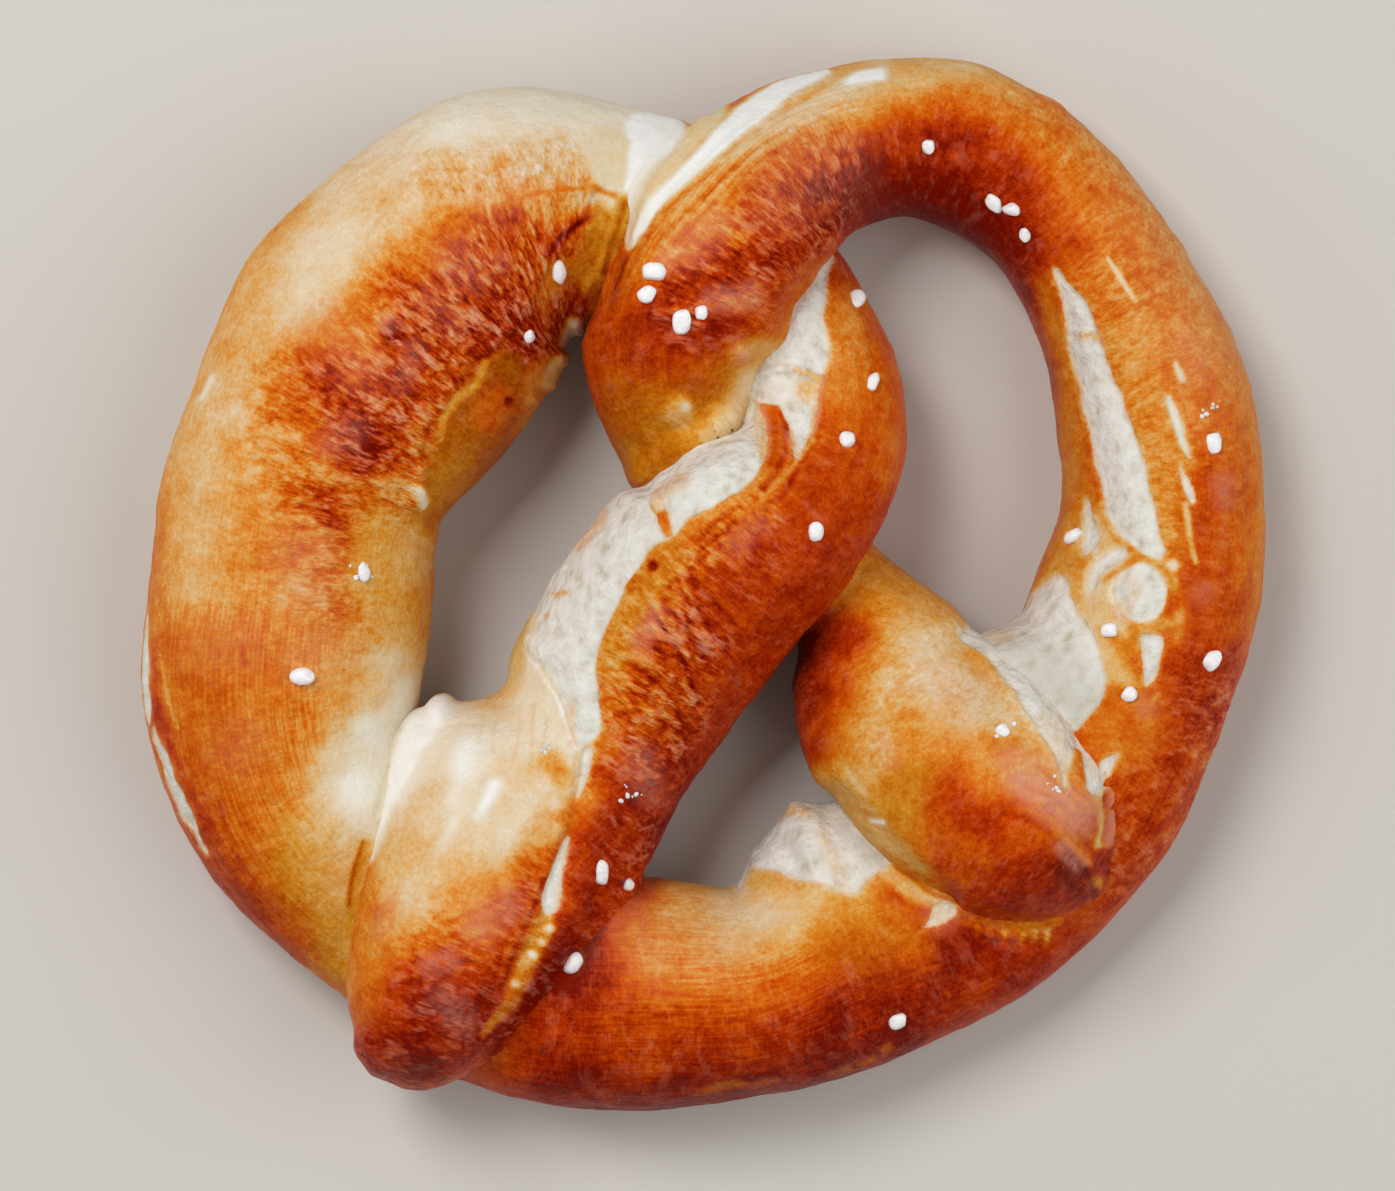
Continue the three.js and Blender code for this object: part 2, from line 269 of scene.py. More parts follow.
# %% Tears in the crust, and a flap of crust left standing in one
TEARS = {
    "left_arm": [
        [(757, 402), (763, 414), (767, 428), (768, 442), (765, 456), (760, 470), (750, 482), (738, 491),
         (726, 500), (712, 508), (698, 514), (688, 521), (680, 530), (672, 538), (656, 545), (647, 551),
         (642, 565), (634, 574), (626, 582), (620, 597), (612, 613), (605, 629), (600, 642), (596, 658),
         (594, 668), (597, 680), (600, 700), (602, 718), (601, 732), (594, 741), (585, 746), (575, 749),
         (571, 738), (565, 718), (556, 698), (546, 680), (536, 667), (529, 655), (530, 640), (534, 622),
         (530, 600), (530, 560), (560, 510), (590, 470), (630, 440), (680, 410), (705, 390), (740, 385)],
        [(838, 252), (829, 280), (829, 300), (823, 312), (826, 325), (831, 340), (831, 356), (825, 370),
         (820, 386), (818, 402), (815, 420), (811, 436), (803, 450), (795, 461), (792, 446), (789, 430),
         (785, 415), (775, 406), (757, 403), (745, 395), (760, 360), (790, 300), (820, 255)],
        [(580, 748), (590, 745), (594, 750), (592, 765), (587, 781), (580, 799), (575, 801), (577, 785),
         (580, 766)],
        [(571, 834), (562, 842), (556, 858), (551, 873), (547, 886), (541, 898), (543, 910), (548, 919),
         (554, 914), (558, 905), (562, 893), (563, 880), (566, 862), (569, 848)],
    ],
    "outer_loop": [
        # the long split on the right, and two short ones
        [(1049, 266), (1058, 270), (1066, 282), (1075, 291), (1084, 300), (1090, 311), (1095, 323),
         (1098, 334), (1102, 348), (1106, 361), (1112, 376), (1119, 389), (1124, 401), (1128, 415),
         (1133, 430), (1138, 445), (1143, 460), (1147, 475), (1151, 490), (1155, 505), (1158, 520),
         (1162, 535), (1166, 548), (1164, 559), (1155, 560), (1143, 553), (1131, 545), (1120, 538),
         (1112, 528), (1106, 515), (1103, 500), (1100, 485), (1096, 470), (1093, 455), (1090, 440),
         (1086, 425), (1082, 410), (1079, 395), (1076, 380), (1071, 365), (1066, 350), (1064, 338),
         (1063, 325), (1061, 310), (1057, 295), (1053, 280)],
        [(1166, 394), (1173, 397), (1178, 411), (1183, 427), (1188, 443), (1192, 456), (1198, 469),
         (1186, 458), (1180, 447), (1175, 434), (1171, 420), (1167, 406)],
        [(1176, 461), (1184, 466), (1189, 478), (1193, 491), (1197, 504), (1190, 504), (1186, 494),
         (1182, 482), (1179, 472)],
        # the round patch, the curved one beside it and the drop under it
        [(1112, 582), (1119, 572), (1130, 566), (1142, 562), (1153, 566), (1162, 574), (1168, 586),
         (1168, 600), (1164, 613), (1154, 621), (1140, 624), (1127, 622), (1118, 613), (1112, 598)],
        [(1085, 590), (1085, 572), (1091, 562), (1100, 555), (1110, 549), (1120, 544), (1126, 547),
         (1130, 557), (1121, 562), (1110, 567), (1102, 573), (1096, 583), (1091, 594)],
        [(1083, 496), (1089, 500), (1091, 515), (1098, 530), (1099, 542), (1092, 553), (1083, 557),
         (1079, 545), (1083, 530), (1083, 514)],
        [(1139, 637), (1150, 634), (1162, 637), (1164, 646), (1161, 658), (1158, 671), (1153, 681),
         (1147, 687), (1144, 678), (1142, 666), (1141, 652)],
        # the web to the right arm, and a nick at its end
        [(1064, 574), (1069, 582), (1069, 592), (1073, 604), (1077, 614), (1085, 620), (1091, 628),
         (1096, 638), (1099, 650), (1104, 666), (1108, 678), (1106, 690), (1101, 703), (1094, 713),
         (1086, 721), (1078, 730), (1066, 735), (1040, 715), (1000, 680), (955, 645), (975, 625),
         (1010, 615), (1030, 590), (1050, 575)],
        [(1098, 763), (1108, 757), (1121, 751), (1115, 765), (1107, 779), (1100, 776)],
        # the torn web under the right arm, and the corner of crumb beyond it
        [(738, 896), (750, 886), (762, 879), (776, 876), (790, 879), (803, 882), (816, 881), (828, 885),
         (840, 891), (850, 896), (859, 894), (863, 885), (872, 879), (882, 871), (900, 858), (884, 834),
         (862, 806), (838, 788), (805, 788), (775, 800), (750, 830), (735, 870)],
        [(932, 905), (941, 900), (953, 903), (957, 913), (950, 921), (938, 926), (925, 930), (914, 939),
         (922, 927), (930, 916)],
    ],
    "left_loop": [
        [(143, 605), (145, 640), (148, 665), (149, 690), (150, 708), (149, 722), (146, 727), (141, 712),
         (134, 690), (132, 665), (134, 640), (139, 620)],
        [(152, 722), (158, 738), (165, 754), (171, 767), (178, 783), (184, 796), (191, 809), (197, 823),
         (202, 840), (209, 858), (203, 853), (196, 842), (188, 831), (179, 818), (173, 803), (165, 787),
         (157, 770), (152, 752), (149, 735)],
    ],
    "right_arm": [
        [(962, 640), (968, 643), (977, 651), (987, 661), (994, 671), (999, 681), (1006, 690), (1014, 698),
         (1020, 706), (1024, 716), (1031, 726), (1039, 736), (1047, 747), (1054, 759), (1060, 771),
         (1063, 784), (1067, 791), (1070, 784), (1068, 772), (1069, 758), (1072, 747), (1078, 752),
         (1082, 764), (1086, 778), (1086, 790), (1092, 797), (1099, 796), (1106, 785), (1110, 770),
         (1105, 745), (1080, 712), (1050, 680), (1015, 645), (985, 622), (960, 628)],
    ],
}
FLAPS = {"left_arm": [[(651, 489, 2), (657, 505, 5), (663, 518, 5), (669, 534, 4)]]}
print("tears:", {name: len(shapes) for name, shapes in TEARS.items()})

# %% Distance to a tear
RAGGED = (0.2, 3.2)  # mm that a tear's edge wanders, and the size of its waves
FRAYED = (0.09, 1.1)  # the same for its finest shreds
USUAL_FLOOR = (3, 8)  # mm above the table between which a tear on a flank closes again
TEAR_FLOOR = {"left_loop": (8.5, 13.5)}  # the same on strands where it closes higher up
FLOOR_WANDER = (2.2, 8)  # mm that this floor goes up and down, and over what length


def tear_distance(name, at, points):
    """How far points are from the nearest tear's edge, negative inside it: the least over the outlines,
    kept out of the flaps, with noise of two sizes that makes the edge ragged."""
    away = np.minimum.reduce([outline(at, corners) for corners in TEARS[name]])
    for course in FLAPS.get(name, []):
        away = np.maximum(away, -band(at, course))
    away = away + RAGGED[0] * rough(points, RAGGED[1], 2, 3) + FRAYED[0] * noise(points, FRAYED[1], 5)
    return np.clip(away, -FAR, FAR)


def closed_below(name, points):
    """What is added to the distance from a tear so that it closes low on the flank: an S-shaped step over
    the height, which goes up and down along the rope."""
    low, high = TEAR_FLOOR.get(name, USUAL_FLOOR)
    height = points[..., 2] + FLOOR_WANDER[0] * rough(points, FLOOR_WANDER[1], 2, 17)
    return FAR * (1 - smooth(height, low, high))


low_point = np.array([[-74.0, 0.0, 1.0]])
print("a tear near the table is closed by %.0f mm" % closed_below("left_loop", low_point)[0])

# %% [markdown]
# ## Browning
#
# The crust isn't one brown. What faced the heat is a dark red brown, what was shaded stayed golden or cream,
# and dough that stretched late is nearly white. That is painted on in strokes, and a few strokes are painted
# shade or painted highlight instead: dark lines in creases and hollows, pale spots on blisters. Each stroke
# is
# a band with a soft edge that pulls the levels under it towards its own:
#
# - bake, from 0 for raw dough to 1 for the darkest crust,
# - gold, from 0 for a red brown to 1 for an olive gold of the same depth,
# - crinkle, how strongly the skin is wrinkled across the rope,
# - grain, how strongly it is drawn into fine lines along the rope.

# %% Strokes on the left side of the loop
BASE = {  # levels before any stroke: bake, gold, crinkle, grain
    "left_loop": (0.52, 0.15, 0.2, 0.3),
    "left_arm": (0.78, 0.0, 0.3, 0.2),
    "outer_loop": (0.72, 0.05, 0.15, 0.35),
    "right_arm": (0.55, 0.35, 0.15, 0.1),
}
STROKES = {  # course, softness of the edge, then bake, gold, crinkle and grain, less any last zeros
    "left_loop": [
        # the lower body, its rim and its golden foot
        ([(260, 600, 60), (240, 700, 60), (280, 800, 60), (330, 880, 40)], 10, 0.56, 0.1, 0.1, 1),
        ([(190, 800, 14), (225, 850, 16), (270, 905, 16), (315, 960, 12)], 8, 0.7, 0.2, 0.1, 0.6),
        ([(200, 660, 14), (215, 740, 16)], 7, 0.6, 0.2, 0.1, 0.6),
        ([(310, 860, 20), (340, 910, 20), (345, 950, 12)], 7, 0.52, 0.8, 0, 0.4),
        # the cream shoulder
        ([(640, 120, 20), (560, 115, 30), (470, 120, 40), (400, 160, 45), (340, 220, 45), (290, 280, 36),
          (262, 330, 22)], 7, 0.19, 0, 0.15, 0.05),
        ([(186, 390, 10), (208, 320, 10), (240, 262, 9), (290, 204, 5)], 5, 0.42, 0.25, 0, 0.1),
        ([(240, 320, 8), (252, 298, 8)], 6, 0.34, 0.1, 0, 0.1),
        ([(620, 110, 20), (540, 112, 16), (460, 118, 14)], 5, 0.1, 0, 0, 0.05),
        ([(304, 284, 7), (288, 320, 6), (266, 360, 5)], 6, 0.13, 0.1),
        ([(345, 240, 7), (330, 252, 6)], 5, 0.1),
        ([(235, 330, 16), (215, 420, 22), (205, 510, 24), (200, 570, 16)], 8, 0.35, 0.1, 0.1, 0.4),
        ([(280, 420, 30), (290, 500, 30), (300, 560, 30)], 8, 0.46, 0.1, 0.35, 0.2),
        # the dark wrinkled core
        ([(572, 218, 10), (550, 240, 20), (500, 265, 38), (450, 320, 52), (410, 370, 52), (380, 430, 42)],
         8, 0.72, 0, 1, 0.1),
        ([(595, 205, 10), (560, 200, 12)], 4, 0.38, 0.1, 0.7, 0.1),
        ([(350, 420, 24), (370, 470, 24), (420, 470, 20)], 6, 0.7, 0, 0.9, 0.1),
        ([(455, 188, 12), (505, 172, 14), (560, 166, 12)], 5, 0.32, 0.05, 0.7, 0.1),
        ([(372, 330, 16), (352, 365, 14)], 4, 0.44, 0, 0.7, 0.1),
        ([(320, 495, 26), (350, 550, 30), (350, 600, 20)], 7, 0.58, 0.1, 0.7, 0.1),
        ([(300, 480, 12), (330, 520, 14), (345, 545, 10)], 4, 0.68, 0, 0.9, 0.1),
        ([(318, 498, 4), (336, 522, 4)], 2.5, 0.82, 0, 0.9, 0.1),
        ([(292, 462, 5), (340, 470, 6), (385, 484, 6), (415, 484, 4)], 2, 0.46, 0.1, 0.6, 0.1),
        ([(366, 456, 7), (380, 436, 6)], 4, 0.8, 0, 1),
        ([(300, 380, 18), (290, 430, 18)], 6, 0.5, 0, 0.7, 0.1),
        ([(490, 330, 8), (520, 325, 8)], 4, 0.9, 0, 1), ([(392, 328, 4)], 2.5, 0.92, 0, 1),
        # painted shadow: a dark line under the ledge where the wrinkled crust ends
        ([(588, 216, 2), (566, 232, 3), (548, 250, 2)], 1.6, 0.9, 0, 0.4),
        # olive skin beside it
        ([(612, 210, 9), (604, 240, 17), (594, 275, 18), (566, 280, 14)], 1.4, 0.64, 0.85, 0.05, 0.1),
        ([(575, 300, 8), (560, 285, 6)], 2, 0.72, 0.3, 0.2, 0.1),
        ([(570, 310, 10), (560, 340, 10), (530, 350, 10)], 3, 0.84, 0, 0.9),
        ([(510, 372, 14), (493, 405, 28), (478, 440, 34), (458, 480, 32), (440, 515, 22)],
         1.6, 0.8, 0.9, 0.05, 0.1),
        ([(497, 405, 10), (490, 420, 8)], 2.5, 0.74, 0.2, 0.1, 0.1),
        ([(488, 364, 1), (478, 386, 2), (456, 400, 2), (443, 422, 2), (441, 440, 1)], 0.6, 0.5, 0.8),
        # the paler inner edge, down to the crease under the arm
        ([(385, 560, 20), (405, 610, 18), (400, 650, 16)], 6, 0.46, 0.6, 0.1, 0.2),
        ([(350, 760, 14), (345, 830, 12), (350, 880, 8)], 8, 0.34, 0.3, 0, 0.2),
        ([(405, 690, 18), (385, 740, 26), (372, 790, 18)], 8, 0.19, 0.3, 0, 0.1),
        ([(382, 745, 8), (376, 800, 7), (372, 830, 5)], 6, 0.11, 0.3, 0, 0.1),
        ([(604, 150, 18), (612, 175, 14), (617, 198, 7)], 1.5, 0.17, 0.4),
        ([(640, 128, 12), (662, 134, 24), (650, 160, 20), (641, 185, 13), (634, 205, 9)], 0.8, 0),
        ([(632, 206, 8), (627, 228, 7), (621, 246, 5)], 0.8, 0.3, 0.6),
        ([(624, 204, 3), (619, 232, 4), (611, 262, 4), (602, 292, 3), (595, 315, 2)], 1.2, 0.6, 0.9),
        # fine pale and dark lines
        ([(505, 205, 1), (530, 195, 1.5), (560, 190, 1.5), (595, 187, 1.5), (615, 195, 1)], 0.5, 0.55, 0.1),
        ([(160, 655, 0.2), (164, 680, 0.5), (168, 702, 0.5), (177, 728, 0.2)], 0.5, 0.34, 0.2, 0, 0.3),
        ([(210, 376, 1), (205, 388, 1), (201, 398, 1)], 0.5, 0.16),
        ([(151, 640, 2), (154, 690, 2), (162, 728, 2), (179, 768, 2), (195, 800, 2), (212, 832, 3)],
         0.8, 0.74, 0, 0, 0.3),
        # pale nubs on the edge of the hole, and a blister
        ([(577, 328, 7), (568, 345, 4)], 0.6, 0.14, 0.4), ([(563, 362, 6), (549, 386, 4)], 0.6, 0.34, 0.7),
        ([(418, 490, 5), (422, 503, 5)], 0.7, 0.2, 0.3),
        ([(366, 846, 2), (357, 870, 3), (352, 900, 3), (352, 930, 3)], 1.2, 0.56, 0.9),
        # painted shadow: a dark line in the crease under the left arm
        ([(363, 842, 0.5), (356, 862, 1), (351, 884, 1), (349, 905, 0.5)], 0.6, 0.85, 0.8),
        # a small dark pit
        ([(512, 404, 2)], 0.6, 1),
    ],
}

# %% Strokes on the left arm
STROKES["left_arm"] = [
    # the turn on the right, and the body of the arm
    ([(852, 310, 16), (855, 370, 20), (848, 420, 16)], 6, 0.49, 0.05, 0.05, 0.15),
    ([(885, 340, 10), (895, 400, 12), (893, 470, 12)], 6, 0.65, 0, 0, 0.2),
    ([(830, 440, 14), (850, 470, 16)], 6, 0.66, 0, 0.1, 0.1),
    ([(800, 520, 40), (760, 590, 40), (720, 660, 40)], 10, 0.79, 0, 0.15, 0.1),
    ([(830, 560, 12), (770, 660, 12), (715, 750, 14), (665, 850, 12)], 6, 0.84, 0, 0, 0.1),
    ([(700, 590, 22), (670, 650, 22), (650, 700, 22)], 6, 0.8, 0, 0.9),
    ([(770, 540, 14), (730, 600, 14)], 5, 0.82, 0, 0.3),
    ([(760, 505, 8), (700, 545, 10), (660, 580, 10), (632, 630, 10), (615, 690, 10), (612, 740, 10)],
     5, 0.6, 0.05, 0.7, 0.1),
    ([(660, 700, 16), (650, 750, 20)], 5, 0.8, 0, 0.9),
    ([(640, 790, 10), (640, 850, 14), (615, 870, 10)], 6, 0.9, 0, 0.5),
    # the cream patch below the tear
    ([(435, 700, 14), (408, 750, 16), (388, 800, 14), (376, 850, 8)], 5, 0.06, 0.2, 0, 0.1),
    ([(522, 640, 14), (532, 700, 24), (556, 740, 18)], 5, 0.12, 0.2, 0, 0.3),
    ([(470, 735, 30), (530, 750, 26), (440, 760, 26), (410, 790, 16)], 5, 0.12, 0.1, 0, 0.2),
    ([(430, 820, 26), (490, 810, 30), (460, 860, 28)], 6, 0.22, 0.1, 0.05, 0.1),
    ([(472, 745, 5), (452, 800, 3)], 4, 0.06, 0, 0, 0.1),
    ([(434, 716, 8), (414, 752, 7), (396, 796, 5)], 3, 0),
    # a painted highlight on a small blister
    ([(495, 786, 3), (490, 797, 2.5), (478, 818, 0.5)], 1.2, 0.02),
    ([(455, 822, 1), (446, 840, 1), (436, 860, 0.5)], 1.2, 0.05),
    ([(466, 744, 3), (460, 768, 3)], 2.5, 0.02),
    ([(425, 895, 26), (480, 885, 24)], 6, 0.28, 0.05, 0.05, 0.1),
    ([(395, 850, 10), (385, 890, 10)], 4, 0.34, 0.3, 0, 0.2),
    ([(370, 880, 7), (368, 930, 11), (366, 985, 12)], 5, 0.5, 0.35, 0, 0.2),
    ([(420, 722, 5), (403, 758, 6), (391, 790, 6), (380, 822, 5), (370, 856, 4)], 1.2, 0),
    # faint lines down the cream
    ([(484, 703, 0.2), (482, 724, 0.2), (478, 742, 0)], 0.4, 0.2, 0.1, 0, 0.3),
    ([(497, 706, 0.2), (494, 728, 0.3), (493, 752, 0)], 0.4, 0.22, 0.1, 0, 0.3),
    ([(509, 700, 0.2), (508, 722, 0.2)], 0.35, 0.19, 0.1, 0, 0.3),
    ([(519, 711, 0.2), (518, 738, 0.3), (514, 760, 0)], 0.4, 0.21, 0.1, 0, 0.3),
    ([(533, 704, 0.3), (531, 726, 0.3), (532, 750, 0), (528, 776, 0)], 0.4, 0.24, 0.1, 0, 0.3),
    ([(545, 716, 0.2), (543, 741, 0.2)], 0.35, 0.2, 0.1, 0, 0.3),
    # the tip
    ([(440, 942, 26), (500, 930, 14)], 6, 0.5, 0, 0.35, 0.1),
    ([(460, 970, 26), (420, 1000, 20)], 6, 0.72, 0, 0.4, 0.1),
    ([(480, 1010, 22), (425, 1030, 26), (500, 1030, 18)], 8, 0.86, 0, 0.4, 0.1),
    ([(364, 930, 8), (360, 980, 10), (362, 1005, 8)], 5, 0.54, 0.25, 0, 0.2),
    ([(536, 870, 8), (515, 925, 12), (500, 960, 12)], 4, 0.74, 0, 0.6, 0.2),
    ([(590, 820, 10), (585, 880, 12), (560, 930, 8)], 3, 0.8, 0, 0.1, 0.4),
    ([(664, 552, 8), (650, 574, 10), (632, 602, 12), (620, 632, 14), (610, 660, 12)],
     2.5, 0.53, 0.5, 0.5, 0.1),
    ([(533, 606, 5), (520, 640, 6), (514, 664, 6), (513, 682, 2)], 1.8, 0.3, 0.8, 0, 0.1),
    ([(546, 918, 6), (540, 935, 7), (530, 958, 6), (519, 985, 5), (508, 1004, 4), (496, 1020, 3),
      (483, 1036, 1)], 0.7, 0.52, 0.4, 0.4, 0.3),
    ([(549, 928, 3)], 0.6, 0.05), ([(533, 955, 3)], 0.5, 0.05), ([(516, 984, 2)], 0.5, 0.1),
    ([(541, 942, 2)], 0.5, 0.15),
    # the strip of crust beside the tear, folded along its length
    ([(762, 404, 5), (770, 420, 4), (773, 440, 4), (769, 462, 4), (760, 478, 4)], 0.7, 0.66, 0.15),
    ([(779, 416, 4), (781, 440, 5), (774, 464, 4)], 0.8, 0.78),
    ([(788, 440, 3), (784, 466, 3), (770, 484, 3)], 0.7, 0.6, 0.1),
    ([(758, 478, 4), (745, 493, 5), (725, 507, 5), (700, 519, 5), (682, 533, 4)], 0.8, 0.54, 0.1, 0.2, 0.1),
    ([(814, 440, 1.5), (800, 458, 1.5), (784, 478, 1.5), (762, 500, 1.5), (740, 518, 1.5)], 0.6, 0.42),
    ([(653, 492, 4), (659, 504, 5)], 0.8, 0.22, 0.2), ([(666, 519, 4), (669, 533, 4)], 0.5, 0.64),
    ([(652, 566, 4)], 0.5, 0.9),
    # golden smears beside the slit
    ([(560, 772, 4), (566, 786, 5)], 1.2, 0.46, 0.3), ([(550, 760, 5)], 1.5, 0.34, 0.3),
    ([(540, 838, 5), (556, 834, 4)], 1.2, 0.5, 0.2), ([(552, 802, 4)], 1.2, 0.42, 0.2),
]

